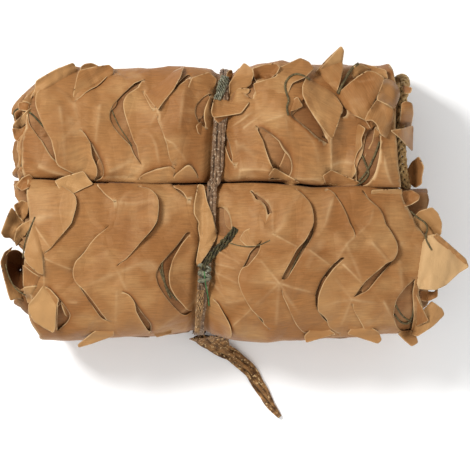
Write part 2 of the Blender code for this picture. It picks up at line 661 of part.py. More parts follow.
def add_mesh(name, points, faces, material):
    """A closed mesh object with its faces out."""
    mesh = bpy.data.meshes.new(name)
    mesh.from_pydata([tuple(point) for point in points], [], [tuple(face) for face in faces])
    shape = bmesh.new()
    shape.from_mesh(mesh)
    bmesh.ops.recalc_face_normals(shape, faces=shape.faces)
    if shape.calc_volume(signed=True) < 0:
        bmesh.ops.reverse_faces(shape, faces=shape.faces)
    bmesh.ops.triangulate(shape, faces=shape.faces)
    shape.to_mesh(mesh)
    shape.free()
    mesh.materials.append(material)
    piece = bpy.data.objects.new(name, mesh)
    bpy.context.scene.collection.objects.link(piece)
    return piece


for old in list(bpy.data.objects):
    bpy.data.objects.remove(old, do_unlink=True)

TAN_CLOTH = finish("tan_cloth", (0.40, 0.19, 0.075), 0.62)
UNDER_CLOTH = finish("under_cloth", (0.27, 0.13, 0.055), 0.75)
BROWN_STRAP = finish("brown_strap", (0.15, 0.085, 0.045), 0.70)
KNOT_GREEN = finish("knot_green", (0.19, 0.20, 0.13), 0.75)
STRAW_ROPE = finish("straw_rope", (0.44, 0.27, 0.11), 0.80)

for make in (leaf_cloth, net_roll, tie_strap, tie_knot, tie_tail, edge_rope):
    made = make()
    print(made.name, len(made.data.polygons), "triangles")
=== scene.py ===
# %% [markdown]
# # A camouflage net, rolled and tied
# The object is a leaf-cut net that is wound from both ends into two rolls, lies on its flat back layer
# and is tied once round the middle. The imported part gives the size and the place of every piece. This
# lesson builds the fine cloth, cords, rope and strap over it, one step at a time.

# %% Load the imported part
import math
from collections import namedtuple

import bmesh
import bpy
import numpy as np
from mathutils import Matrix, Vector
from mathutils.geometry import delaunay_2d_cdt
from mathutils.bvhtree import BVHTree
from mathutils.kdtree import KDTree


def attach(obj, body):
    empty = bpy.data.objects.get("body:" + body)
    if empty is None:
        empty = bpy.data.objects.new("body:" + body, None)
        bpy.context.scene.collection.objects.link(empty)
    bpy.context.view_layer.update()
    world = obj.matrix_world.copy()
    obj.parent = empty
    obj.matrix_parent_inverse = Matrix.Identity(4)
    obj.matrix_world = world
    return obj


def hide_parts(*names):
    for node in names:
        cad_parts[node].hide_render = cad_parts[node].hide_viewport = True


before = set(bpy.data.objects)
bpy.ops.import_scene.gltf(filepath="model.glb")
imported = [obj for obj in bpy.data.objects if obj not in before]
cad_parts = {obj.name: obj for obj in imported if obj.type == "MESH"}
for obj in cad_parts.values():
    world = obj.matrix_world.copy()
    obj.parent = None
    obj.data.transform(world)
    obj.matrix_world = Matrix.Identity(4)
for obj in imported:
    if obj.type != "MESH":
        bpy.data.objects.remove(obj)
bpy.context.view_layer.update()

MM = 0.001
print("nodes:", sorted(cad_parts))

# %% [markdown]
# ## Camera, floor and light
# The bundle is seen from straight above, so that both rolls, the crease between them and the strap all
# show. A long lens from far away keeps the outline nearly free of perspective. The light is a plain soft
# studio: a bright sky all round, one lamp that models the folds, and a wider, weaker one against it.

# %% Camera
VIEW_WIDTH = 0.376  # metres of the object across the picture
VIEW_CENTRE = Vector((0.0, -0.028, 0.060))
CAMERA_RISE = 3.0
SENSOR = 36.0

camera_data = bpy.data.cameras.new("view_camera")
camera_data.sensor_width = SENSOR
camera_data.lens = SENSOR * CAMERA_RISE / VIEW_WIDTH
camera_data.clip_end = 20.0
camera = bpy.data.objects.new("view_camera", camera_data)
camera.location = VIEW_CENTRE + Vector((0, 0, CAMERA_RISE))
bpy.context.scene.collection.objects.link(camera)
bpy.context.scene.camera = camera
print("lens", round(camera_data.lens), "mm")


# %% Floor and lamps
def put(node, values):
    """Sets some of a node's inputs."""
    for key, value in values.items():
        node.inputs[key].default_value = value


def new_finish(name, values):
    """A Principled finish with some inputs set. Also its node tree and its shader."""
    material = bpy.data.materials.new(name)
    material.use_nodes = True
    shader = material.node_tree.nodes["Principled BSDF"]
    put(shader, values)
    return material, material.node_tree, shader


def lamp(name, place, aim, size, power):
    """A square area lamp that shines from one place at another."""
    data = bpy.data.lights.new(name, "AREA")
    data.size, data.energy = size, power
    made = bpy.data.objects.new(name, data)
    made.location = place
    made.rotation_euler = (Vector(aim) - Vector(place)).to_track_quat("-Z", "Y").to_euler()
    bpy.context.scene.collection.objects.link(made)
    return made


FLOOR_HALF, FLOOR_TOP = 6.0, -0.0004
CORNERS = ((-1, -1), (1, -1), (1, 1), (-1, 1))
floor_points = [(x * FLOOR_HALF, y * FLOOR_HALF, FLOOR_TOP) for x, y in CORNERS]
floor_mesh = bpy.data.meshes.new("floor")
floor_mesh.from_pydata(floor_points, [], [(0, 1, 2, 3)])
floor = bpy.data.objects.new("floor", floor_mesh)
pale = {"Base Color": (0.95, 0.95, 0.945, 1.0), "Roughness": 0.9}
floor_mesh.materials.append(new_finish("pale_floor", pale)[0])
bpy.context.scene.collection.objects.link(floor)

world = bpy.data.worlds.new("soft_sky")
world.use_nodes = True
put(world.node_tree.nodes["Background"], {"Color": (1.0, 1.0, 1.0, 1.0), "Strength": 0.62})
bpy.context.scene.world = world
bpy.context.scene.view_settings.view_transform = "Standard"
BUNDLE_MIDDLE = (0, 0, 0.05)
lamp("key_lamp", (-0.80, 0.52, 1.20), BUNDLE_MIDDLE, size=0.38, power=24.0)
lamp("fill_lamp", (0.72, -1.20, 0.95), BUNDLE_MIDDLE, size=1.2, power=12.0)
print("lamps:", [light.name for light in bpy.data.lights])

# %% [markdown]
# ## The straight bundle and how it settles
# Every sheet here lies at some depth inside one outline: the near roll, the flat back and the far roll. A
# point of cloth is therefore known by two numbers, its place along the rolls and its arc length round
# that outline. One function then moves the straight bundle to its tied shape, pinched under the strap. The
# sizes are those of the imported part.

# %% Sizes of the bundle
Roll = namedtuple("Roll", "centre_y half_width half_height")
NEAR_ROLL = Roll(-0.0500, 0.0600, 0.052)
FAR_ROLL = Roll(0.0605, 0.0455, 0.048)
ROUNDNESS = 2.7  # power of the rolls' outline: 2 is an ellipse, more is squarer
UNDERSIDE_DEPTH = 1.12  # the lower half is drawn this much deeper, then pressed flat on the surface
CREASE_Y = 0.0125  # the plane where the two rolls meet
NEAR_SHOULDER, FAR_SHOULDER = -0.104, 0.100  # where each upper face turns down into its side
LEFT_END, NEAR_RIGHT_END, FAR_RIGHT_END = -0.164, 0.147, 0.124  # ends of the wound net along X
print("near roll:", NEAR_ROLL, "far roll:", FAR_ROLL)

# %% How the tie and the rolls' own weight change it
TIE_X, TIE_SLANT = -0.018, 0.10  # where the strap crosses Y = 0, and how far it leans along X
PINCH_REACH, PINCH_TOP, PINCH_SIDE = 0.036, 0.0060, 0.0045
GROOVE_REACH, GROOVE_LIFT = 0.014, 0.0036  # the strap's own groove in the underside
UNDER_STRAP = 0.0060
LEFT_SOFT, LEFT_SOFT_REACH = -0.130, 0.045  # where the soft ends begin to shrink, and over how long
RIGHT_SOFT, RIGHT_SOFT_REACH = 0.095, 0.060
LEFT_LOWER, LEFT_NARROWER, RIGHT_LOWER, RIGHT_NARROWER = 0.05, 0.045, 0.07, 0.05
CREASE_LEAN, CREASE_LEAN_REACH = 0.019, 0.11  # the crease runs a little askew to X
FAR_LEAN = 0.022  # and so does the far roll
SWAY, SWAY_RATE = 0.0022, 36  # how far the rolls sway sideways along X
CREASE_HALF, ROLL_SIDE = 0.0008, 0.0035  # half of the crease as pressed, and as it would be unpressed
PRESS_REACH, PRESS_POWER = 0.032, 2.8
PRESS_RATE = (PRESS_REACH - CREASE_HALF) / (PRESS_REACH - ROLL_SIDE) ** PRESS_POWER
CREASE_LIFT, CREASE_LIFT_REACH = 0.0045, 0.0080  # cloth that is pressed together rises
DIP = math.radians(24)  # how far past a roll's side the outline goes down into the crease


def smooth(value):
    """0 below 0, 1 above 1, and a soft step between."""
    value = np.clip(value, 0.0, 1.0)
    return value * value * (3.0 - 2.0 * value)


def roll_point(roll, angle, inset):
    """(y, z) on a roll's outline at an angle, some way in from the outer face."""
    cosine, sine = math.cos(angle), math.sin(angle)
    depth = roll.half_height * (UNDERSIDE_DEPTH if sine < 0 else 1.0)
    power = 2.0 / ROUNDNESS
    y = roll.centre_y + (roll.half_width - inset) * math.copysign(abs(cosine) ** power, cosine)
    z = roll.half_height + (depth - inset) * math.copysign(abs(sine) ** power, sine)
    return y, max(z, inset)


def strap_centre(y):
    """Where the strap lies along X, at a place across the bundle."""
    return TIE_X + TIE_SLANT * y


def pressed_together(y, z):
    """How far a point moves towards the crease, where the two soft rolls press against each other."""
    off = np.abs(y - CREASE_Y)
    curved = CREASE_HALF + PRESS_RATE * np.clip(off - ROLL_SIDE, 0.0, None) ** PRESS_POWER
    near = np.where(off < ROLL_SIDE, off * CREASE_HALF / ROLL_SIDE, curved)
    shift = np.minimum(near - off, 0.0) * (off < PRESS_REACH) * smooth((z - 0.015) / 0.030)
    return np.sign(y - CREASE_Y) * shift


def settle(points):
    """Moves points of the straight bundle to their place in the tied one."""
    x, y, z = np.asarray(points, float).T
    off = np.abs(x - strap_centre(y))
    pinch = smooth((PINCH_REACH - off) / (PINCH_REACH - UNDER_STRAP))
    groove = smooth((GROOVE_REACH - off) / (GROOVE_REACH - UNDER_STRAP))
    high = z / (2 * NEAR_ROLL.half_height)
    wide = y / (FAR_ROLL.centre_y + FAR_ROLL.half_width)
    left, right = smooth((LEFT_SOFT - x) / LEFT_SOFT_REACH), smooth((x - RIGHT_SOFT) / RIGHT_SOFT_REACH)
    crease = np.clip(1.0 - np.abs(y - CREASE_Y) / CREASE_LEAN_REACH, 0.0, 1.0)
    new_z = z * (1 + 0.022 * np.sin(31 * x + 14 * y + 0.6) + 0.012 * np.sin(67 * x - 9 * y))
    new_z = new_z * (1 - LEFT_LOWER * left - RIGHT_LOWER * right) - PINCH_TOP * pinch * high
    new_z = new_z + GROOVE_LIFT * groove * np.clip(1.0 - 2.2 * high, 0.0, 1.0)
    new_y = y * (1 - LEFT_NARROWER * left - RIGHT_NARROWER * right) - PINCH_SIDE * pinch * wide
    pressed = pressed_together(y, z)
    from_crease = np.abs(y + pressed - CREASE_Y)
    new_z = new_z + CREASE_LIFT * np.exp(-from_crease / CREASE_LIFT_REACH) * smooth((z - 0.030) / 0.035)
    new_y = new_y + FAR_LEAN * x * smooth(y / 0.1) + pressed - CREASE_LEAN * x * crease
    new_y = new_y + SWAY * np.sin(SWAY_RATE * x + 1.2) * high * np.sign(y)
    return np.stack([x, new_y, new_z], axis=1)


# %% The outline, by arc length
def arc_of(line):
    """The distance along a line to each of its points."""
    return np.concatenate([[0.0], np.cumsum(np.linalg.norm(np.diff(line, axis=0), axis=1))])


def unit(rows):
    """Directions of length 1."""
    return rows / np.maximum(np.linalg.norm(rows, axis=-1, keepdims=True), 1e-9)


class Section:
    """The bundle's outline: from the crease's foot over the near roll, under both, over the far one."""

    STEP = math.radians(1.5)

    def __init__(self, inset):
        near = np.arange(-DIP, math.radians(270), self.STEP)
        far = np.arange(math.radians(-90), math.radians(180) + DIP, self.STEP)
        points = [roll_point(NEAR_ROLL, angle, inset) for angle in near]
        points += [roll_point(FAR_ROLL, angle, inset) for angle in far]
        self.points = np.array(points)
        self.arc = arc_of(self.points)
        self.length = float(self.arc[-1])
        self.near_count = len(near)
        fine = np.linspace(0, self.length, 900)
        run = np.stack([np.gradient(np.interp(fine, self.arc, side)) for side in self.points.T], axis=1)
        box = np.ones(7) / 7
        padded = [np.pad(side, 3, mode="edge") for side in run.T]
        run = unit(np.stack([np.convolve(side, box, "valid") for side in padded], axis=1))
        self.fine, self.out = fine, np.stack([run[:, 1], -run[:, 0]], axis=1)

    def at(self, arc, height=0.0):
        """(y, z) at an arc length, a height off the outline."""
        y, z = (np.interp(arc, self.arc, self.points[:, k]) for k in (0, 1))
        out_y, out_z = (np.interp(arc, self.fine, self.out[:, k]) for k in (0, 1))
        return y + height * out_y, z + height * out_z

    def arc_at(self, y):
        """The arc length at a place across the upper face. Past a shoulder it runs on down the side."""
        y = np.asarray(y, float)
        arcs = []
        for roll, rows, inside in (
            (NEAR_ROLL, slice(0, self.near_count), np.maximum(y, NEAR_SHOULDER)),
            (FAR_ROLL, slice(self.near_count, None), np.minimum(y, FAR_SHOULDER)),
        ):
            upper = self.points[rows, 1] >= roll.half_height
            along = -self.points[rows, 0][upper]
            arcs.append(np.interp(-inside, along, self.arc[rows][upper]) + (inside - y))
        return np.where(y < CREASE_Y, *arcs)


OUTER_INSET, SECOND_INSET, THIRD_INSET = 0.0010, 0.0030, 0.0066
OUTER = Section(OUTER_INSET)
print("cloth round the bundle:", round(OUTER.length, 3), "m")

# %% [markdown]
# ## A grid on the upper face
# Every leaf, slit and cord of the upper face is placed on one square grid, as on a tailor's pattern. Its
# cells are 0.8 mm wide and are counted to the right and down from the upper left corner of the view. A
# place on the grid is first taken to the tied bundle and from there back to the flat cloth.

# %% The face grid
CELL = 0.0008
GRID_MIDDLE = (235, 200)
FACE_HEIGHT = 0.092
NEARER = 1 - (FACE_HEIGHT - VIEW_CENTRE.z) / CAMERA_RISE  # the face is nearer to the camera than its aim


def on_grid(cells):
    """(x, y) in the tied bundle for each (column, row) of the grid."""
    cells = np.array(cells, float)
    x = (cells[:, 0] - GRID_MIDDLE[0]) * CELL * NEARER
    y = VIEW_CENTRE.y + ((GRID_MIDDLE[1] - cells[:, 1]) * CELL - VIEW_CENTRE.y) * NEARER
    return np.stack([x, y], axis=1)


def on_face(section, cells):
    """Flat cloth places for (column, row) cells of the grid, found by halving the range."""
    x, wanted = on_grid(cells).T
    low, high = wanted - 0.05, wanted + 0.05
    for _ in range(22):
        y = 0.5 * (low + high)
        level = section.at(section.arc_at(y))[1]
        short = settle(np.stack([x, y, level], axis=1))[:, 1] < wanted
        low, high = np.where(short, y, low), np.where(short, high, y)
    return list(np.stack([x, section.arc_at(y)], axis=1))


# %% [markdown]
# ## Soft, uneven cloth
# Real cloth is never quite smooth: it has slow swells from the layers below and small dents where it was
# handled. A lattice of random numbers, blended softly, gives such a field without any image. It is seeded,
# so each run gives the same cloth. Crushed cloth also keeps flat facets: a lattice with each of its
# squares split into two flat triangles gives those.

# %% A soft random field
def blended(field, i, j, u, v):
    """The value of a field between four of its points."""
    low = field[i, j] * (1 - u) + field[i + 1, j] * u
    high = field[i, j + 1] * (1 - u) + field[i + 1, j + 1] * u
    return low * (1 - v) + high * v


def swell(points, size, seed):
    """A smooth random value from -1 to 1 at each point, with bumps about one size apart."""
    random = np.random.RandomState(seed)
    lattice = random.uniform(-1, 1, (97, 97))
    place = np.asarray(points, float)[:, :2] / size + 40.0
    cell = np.floor(place).astype(int)
    part = place - cell
    part = part * part * (3 - 2 * part)
    i, j = cell[:, 0] % 96, cell[:, 1] % 96
    return blended(lattice, i, j, *part.T)


# %% Stiff folds
def facets(points, size, seed, turn=0.6):
    """A field from -1 to 1 of flat facets with straight ridges, as in a stiff cloth once crushed."""
    random = np.random.RandomState(seed)
    lattice, slant = random.uniform(-1, 1, (97, 97)), random.uniform(0, 1, (97, 97)) > 0.5
    points = np.asarray(points, float)[:, :2]
    c, s = math.cos(turn), math.sin(turn)
    place = points @ np.array([[c, s], [-s, c]]) / size + 40.0
    drift = [swell(points, 1.7 * size, seed + 1), swell(points, 1.7 * size, seed + 2)]
    place += 0.40 * np.stack(drift, axis=1)
    cell = np.floor(place).astype(int)
    u, v = (place - cell).T
    i, j = cell[:, 0] % 96, cell[:, 1] % 96
    a, b, c, d = lattice[i, j], lattice[i + 1, j], lattice[i, j + 1], lattice[i + 1, j + 1]
    rising = np.where(u > v, a + (b - a) * u + (d - b) * v, a + (c - a) * v + (d - c) * u)
    falling = np.where(u + v < 1, a + (b - a) * u + (c - a) * v, d + (c - d) * (1 - u) + (b - d) * (1 - v))
    return np.where(slant[i, j], rising, falling)


# %% [markdown]
# ## Cloth finishes
# The cloth is a thin, tightly woven polyester with a little sheen. Its colour shifts slowly between
# deeper and lighter tans, fine ribs run along the rolls, and the cut edges and hard creases are paler:
# partly because the weave is strained there, partly as painted highlight where they catch the light.
# Three numbers that each sheet carries at its points tell the finish where such places are: rim,
# strain, and tone, which is below 0 where a leaf is darker and where shade is painted: the
# painted shadow line beside each cut and the painted shade inside pockets.

# %% Cloth finish
OWN_SHARE = 0.73  # the share of a seen colour that is the material's own: the strong light gives the rest


def colour_of(red, green, blue):
    """A colour from screen values of 0 to 255, as the linear numbers that a shader takes."""
    return tuple(OWN_SHARE * ((value / 255 + 0.055) / 1.055) ** 2.4 for value in (red, green, blue))


def bumped(tree, height, strength, distance, below=None):
    """A bump from a height, on top of another one."""
    bump = tree.nodes.new("ShaderNodeBump")
    put(bump, {"Strength": strength, "Distance": distance})
    tree.links.new(height, bump.inputs["Height"])
    if below:
        tree.links.new(below, bump.inputs["Normal"])
    return bump.outputs["Normal"]


CLOTH_GLOSS = {"Roughness": 0.54, "Specular IOR Level": 0.32, "Specular Tint": (1.0, 0.80, 0.52, 1.0)}
CLOTH_SHEEN = {"Sheen Weight": 0.03, "Sheen Roughness": 0.45}
SHADE = (66, 34, 16)  # cloth that hardly any light gets to


def cloth_finish(name, tans):
    """Woven cloth that varies between three tans, with pale rims and creases, partly painted highlight, and
    painted shade where tone is low.
    """
    deep, middle, light, pale = (colour_of(*tan) for tan in tans)
    material, tree, shader = new_finish(name, CLOTH_GLOSS | CLOTH_SHEEN)
    nodes, links = tree.nodes, tree.links
    uv = nodes.new("ShaderNodeTexCoord")

    def noise(scale, detail, stretch=(1.0, 1.0, 1.0)):
        mapping = nodes.new("ShaderNodeMapping")
        texture = nodes.new("ShaderNodeTexNoise")
        put(mapping, {"Scale": stretch})
        put(texture, {"Scale": scale, "Detail": detail})
        links.new(uv.outputs["UV"], mapping.inputs["Vector"])
        links.new(mapping.outputs["Vector"], texture.inputs["Vector"])
        return texture.outputs["Fac"]

    def mixed(factor, first, second, blend="MIX"):
        mix = nodes.new("ShaderNodeMix")
        mix.data_type, mix.blend_type = "RGBA", blend
        for socket, value in ((mix.inputs[0], factor), (mix.inputs[6], first), (mix.inputs[7], second)):
            if isinstance(value, bpy.types.NodeSocket):
                links.new(value, socket)
            else:
                socket.default_value = value if isinstance(value, float) else (*value, 1.0)
        return mix.outputs[2]

    def scaled(value, low, high, to_low=0.0, to_high=1.0):
        remap = nodes.new("ShaderNodeMapRange")
        put(remap, {"From Min": low, "From Max": high, "To Min": to_low, "To Max": to_high})
        links.new(value, remap.inputs["Value"])
        return remap.outputs["Result"]

    def carried(key):
        attribute = nodes.new("ShaderNodeAttribute")
        attribute.attribute_name = key
        return attribute.outputs["Fac"]

    def product(first, second):
        times = nodes.new("ShaderNodeMath")
        times.operation = "MULTIPLY"
        links.new(first, times.inputs[0])
        links.new(second, times.inputs[1])
        return times.outputs["Value"]

    # Patchy noise weakens the pale rims and the pale creases, which are partly painted highlight, here and
    # there.
    patches = scaled(noise(75.0, 2.0), 0.35, 0.60, 0.30, 1.0)
    base = mixed(scaled(noise(14.0, 2.0), 0.30, 0.62), deep, middle)
    base = mixed(scaled(noise(34.0, 5.0, (0.8, 1.3, 1.0)), 0.48, 0.74, 0.0, 0.85), base, light)
    streaks = scaled(noise(1.0, 3.0, (90.0, 1300.0, 1.0)), 0.3, 0.7, 0.78, 1.08)
    grey = nodes.new("ShaderNodeCombineColor")
    for channel in grey.inputs:
        links.new(streaks, channel)
    base = mixed(1.0, base, grey.outputs["Color"], "MULTIPLY")
    base = mixed(scaled(noise(24.0, 3.0, (1.0, 1.2, 1.0)), 0.60, 0.74, 0.0, 0.35), base, pale)
    # Pale along the crease ridges: partly strained weave, partly painted highlight.
    base = mixed(product(scaled(carried("strain"), 0.0, 1.0, 0.0, 0.62), patches), base, pale)
    # SHADE is painted shade, mixed in where tone is below -1; tone above 1 mixes in the pale tan.
    shade = colour_of(*SHADE)
    steps = ((0, 1, 1.0, light), (0, -1, 1.0, deep), (-1, -2, 0.9, shade), (1, 2, 0.9, pale))
    for low, high, most, tan in steps:
        base = mixed(scaled(carried("tone"), low, high, 0.0, most), base, tan)
    # Pale along the cut edges: partly the cloth's paler cut edge, partly painted highlight where the edge
    # catches the light.
    base = mixed(product(scaled(carried("rim"), 0.25, 1.0, 0.0, 0.95), patches), base, pale)
    links.new(base, shader.inputs["Base Color"])

    # Straight, sharp folds from the edges of large cells, and the finer folds between them.
    folds = nodes.new("ShaderNodeTexVoronoi")
    folds.feature = "DISTANCE_TO_EDGE"
    put(folds, {"Scale": 42.0})
    links.new(uv.outputs["UV"], folds.inputs["Vector"])
    relief = bumped(tree, scaled(folds.outputs["Distance"], 0.0, 0.16), 0.62, 0.0008)
    # Over them the weave, and over both some dents.
    relief = bumped(tree, noise(1.0, 2.0, (300.0, 2200.0, 1.0)), 0.65, 0.0003, relief)
    relief = bumped(tree, noise(120.0, 3.0), 0.45, 0.0012, relief)
    links.new(relief, shader.inputs["Normal"])
    return material


# The deep, middle, light and pale tan of each cloth, as seen.
TANS = ((146, 93, 48), (164, 113, 65), (188, 143, 92), (218, 182, 134))
# The cloth below is the same cloth in darker, redder tans: painted shade for the turns inside.
TANS_PAINTED_SHADE = ((122, 74, 38), (144, 95, 54), (164, 116, 72), (196, 152, 104))
TAN, TAN_PAINTED_SHADE = cloth_finish("tan_leaf_cloth", TANS), cloth_finish("tan_cloth_painted_shade", TANS_PAINTED_SHADE)
print("cloth finishes:", TAN.name, "and", TAN_PAINTED_SHADE.name)

# %% [markdown]
# ## Flat patterns with cuts
# The leaves of such a net are made by cutting curved slits into one cloth and pulling it open. So each
# sheet here starts as a flat pattern: a ring for its edge, and a ring for each slit, whose two sides are
# the leaf's own edge and the edge that it parted from. A Delaunay triangulation fills the pattern with
# points, closer beside each cut, and the triangles inside the slits are dropped.

# %% Lines with rounded corners
def rounded(points, radius, step):
    """A line through points with its corners rounded, as points about one step apart."""
    points = [np.array(point, float) for point in points]
    line = [points[0]]
    for before, corner, after in zip(points, points[1:], points[2:]):
        legs = [np.linalg.norm(before - corner), np.linalg.norm(after - corner)]
        cut = [min(radius, 0.48 * leg) / leg for leg in legs]
        enter, leave = corner + cut[0] * (before - corner), corner + cut[1] * (after - corner)
        for share in np.linspace(0, 1, 7):
            line.append((1 - share) ** 2 * enter + 2 * share * (1 - share) * corner + share**2 * leave)
    line.append(points[-1])
    line = np.array(line)
    arc = arc_of(line)
    even = np.linspace(0, arc[-1], max(3, round(arc[-1] / step) + 1))
    return np.stack([np.interp(even, arc, line[:, 0]), np.interp(even, arc, line[:, 1])], axis=1)


def sides_of(line):
    """The unit direction to the right of a line, at each of its points."""
    run = unit(np.gradient(line, axis=0))
    return np.stack([run[:, 1], -run[:, 0]], axis=1)


def inside(points, ring):
    """For each point of the flat cloth, whether it is inside a ring."""
    points, ring = np.asarray(points), np.asarray(ring)
    odd = np.zeros(len(points), bool)
    for (x0, y0), (x1, y1) in zip(ring, np.roll(ring, -1, axis=0)):
        if y0 == y1:
            continue
        crosses = (y0 > points[:, 1]) != (y1 > points[:, 1])
        odd ^= crosses & (points[:, 0] < x0 + (points[:, 1] - y0) * (x1 - x0) / (y1 - y0))
    return odd


def to_line(points, line):
    """Distance from each point to a line, the share along it, and which side of it the point is on."""
    best = np.full(len(points), 1e9)
    share, side = np.zeros(len(points)), np.zeros(len(points))
    for k in range(len(line) - 1):
        run = line[k + 1] - line[k]
        length = float(run @ run)
        t = np.clip((points - line[k]) @ run / length, 0, 1)
        off = points - line[k] - t[:, None] * run
        distance = np.linalg.norm(off, axis=1)
        better = distance < best
        best[better] = distance[better]
        share[better] = (k + t[better]) / (len(line) - 1)
        side[better] = np.sign(run[0] * off[better, 1] - run[1] * off[better, 0])
    return best, share, side


# %% One slit
class Slit:
    """A slit of the flat cloth. edge is the leaf's side and parted the other, from start to end."""

    STEP = 0.0014
    LEAST_GAP = 0.0006

    def __init__(self, edge, parted=None, gape=0.0004, lift=0.003, lip=0.0011, radius=0.0030):
        self.edge = rounded(edge, radius, self.STEP)
        self.lift, self.lip = lift, lip
        share = np.linspace(0, 1, len(self.edge))
        away = sides_of(self.edge)
        middle = 0.5 * (self.edge[0] + self.edge[-1])
        bulge = self.edge[len(self.edge) // 2] - middle
        if np.dot(away[len(away) // 2], bulge) < 0:
            away = -away
        self.away = away
        if parted is None:
            opening = (self.LEAST_GAP + gape) * np.sin(math.pi * share) ** 0.35
            self.parted = self.edge + away * opening[:, None]
        else:
            self.parted = rounded([edge[0], *parted, edge[-1]], radius, self.STEP)
        root = unit(self.edge[-1] - self.edge[0])
        self.out = np.array([root[1], -root[0]])
        if np.dot(self.out, bulge) < 0:
            self.out = -self.out
        self.depth = max(float(((self.edge - self.edge[0]) @ self.out).max()), 0.004)
        self.gap = to_line(self.edge, self.parted)[0]

    def ring(self):
        """The slit's hole, as one ring."""
        return np.concatenate([self.edge, self.parted[1:-1][::-1]])

    def beside(self, distance):
        """A row of points beside each side of the slit, left out near its two ends."""
        other = sides_of(self.parted)
        if np.dot(other[len(other) // 2], self.away[len(self.away) // 2]) < 0:
            other = -other
        rows = [(self.edge - self.away * distance)[3:-3], (self.parted + other * distance)[3:-3]]
        return np.concatenate(rows)


# %% Fill a flat pattern
def around(points, ring, margin=0.0):
    """Which points are in the box round a ring, with a margin."""
    return ((points > ring.min(axis=0) - margin) & (points < ring.max(axis=0) + margin)).all(axis=1)


def outside(points, ring):
    """Which points aren't inside a ring. Only those in the box round it are tested."""
    near = around(points, ring)
    keep = np.ones(len(points), bool)
    keep[near] = ~inside(points[near], ring)
    return keep


def clear_of(points, others, distance):
    """The points that stay some distance away from others."""
    tree = KDTree(len(others))
    for index, point in enumerate(others):
        tree.insert((*point, 0.0), index)
    tree.balance()
    kept = [point for point in points if tree.find((*point, 0.0))[2] > distance]
    return np.array(kept).reshape(-1, 2)


def fill_pattern(rings, beside, pitch, clear):
    """Points and triangles of a flat cloth inside the first ring and outside the others."""
    ring_points = np.concatenate(rings)
    low, high = rings[0].min(axis=0), rings[0].max(axis=0)
    grid = [
        (x, y)
        for row, y in enumerate(np.arange(low[1], high[1], pitch * 0.87))
        for x in np.arange(low[0] + 0.5 * pitch * (row % 2), high[0], pitch)
    ]
    grid = np.array(grid)
    grid = grid[inside(grid, rings[0])]
    extra = beside[inside(beside, rings[0])]
    for ring in rings[1:]:
        grid, extra = grid[outside(grid, ring)], extra[outside(extra, ring)]
    extra = clear_of(extra, ring_points, 0.45 * clear)
    grid = clear_of(grid, np.concatenate([ring_points, extra]), 0.62 * pitch)
    points = np.concatenate([ring_points, extra, grid])
    edges, start = [], 0
    for ring in rings:
        count = len(ring)
        edges += [(start + k, start + (k + 1) % count) for k in range(count)]
        start += count
    made = delaunay_2d_cdt([Vector(point) for point in points], edges, [], 0, 1e-8)
    places = np.array([tuple(point) for point in made[0]])
    faces = np.array([tuple(face) for face in made[2]])
    middles = places[faces].mean(axis=1)
    keep = inside(middles, rings[0])
    for ring in rings[1:]:
        keep &= outside(middles, ring)
    return places, faces[keep]


# %% [markdown]
# ## How the leaves stand
# A leaf is held at its root, the line between the two ends of its slit, and stands off most at its tip.
# Both sides of a slit also curl a little: the leaf's side up, the other side down, which throws a thin
# shadow beside each cut, deepened by a painted shadow line. Creases and slow swells add to that, and the
# whole is then settled.

# %% Heights of a sheet
LIP_REACH = 0.0065  # how far from a cut the cloth curls
LAP, LAP_REACH = 0.0009, 0.0070  # how far a leaf laps over a closed slit, and how much of it moves
LAP_GAP, LAP_FADE = 0.0013, 0.0009  # slits that gape more than this don't lap
SHADOW_LINE_REACH = 0.0024  # how wide the dark line beside a cut is
RIM_WIDTH = 0.0009  # and the pale rim on it


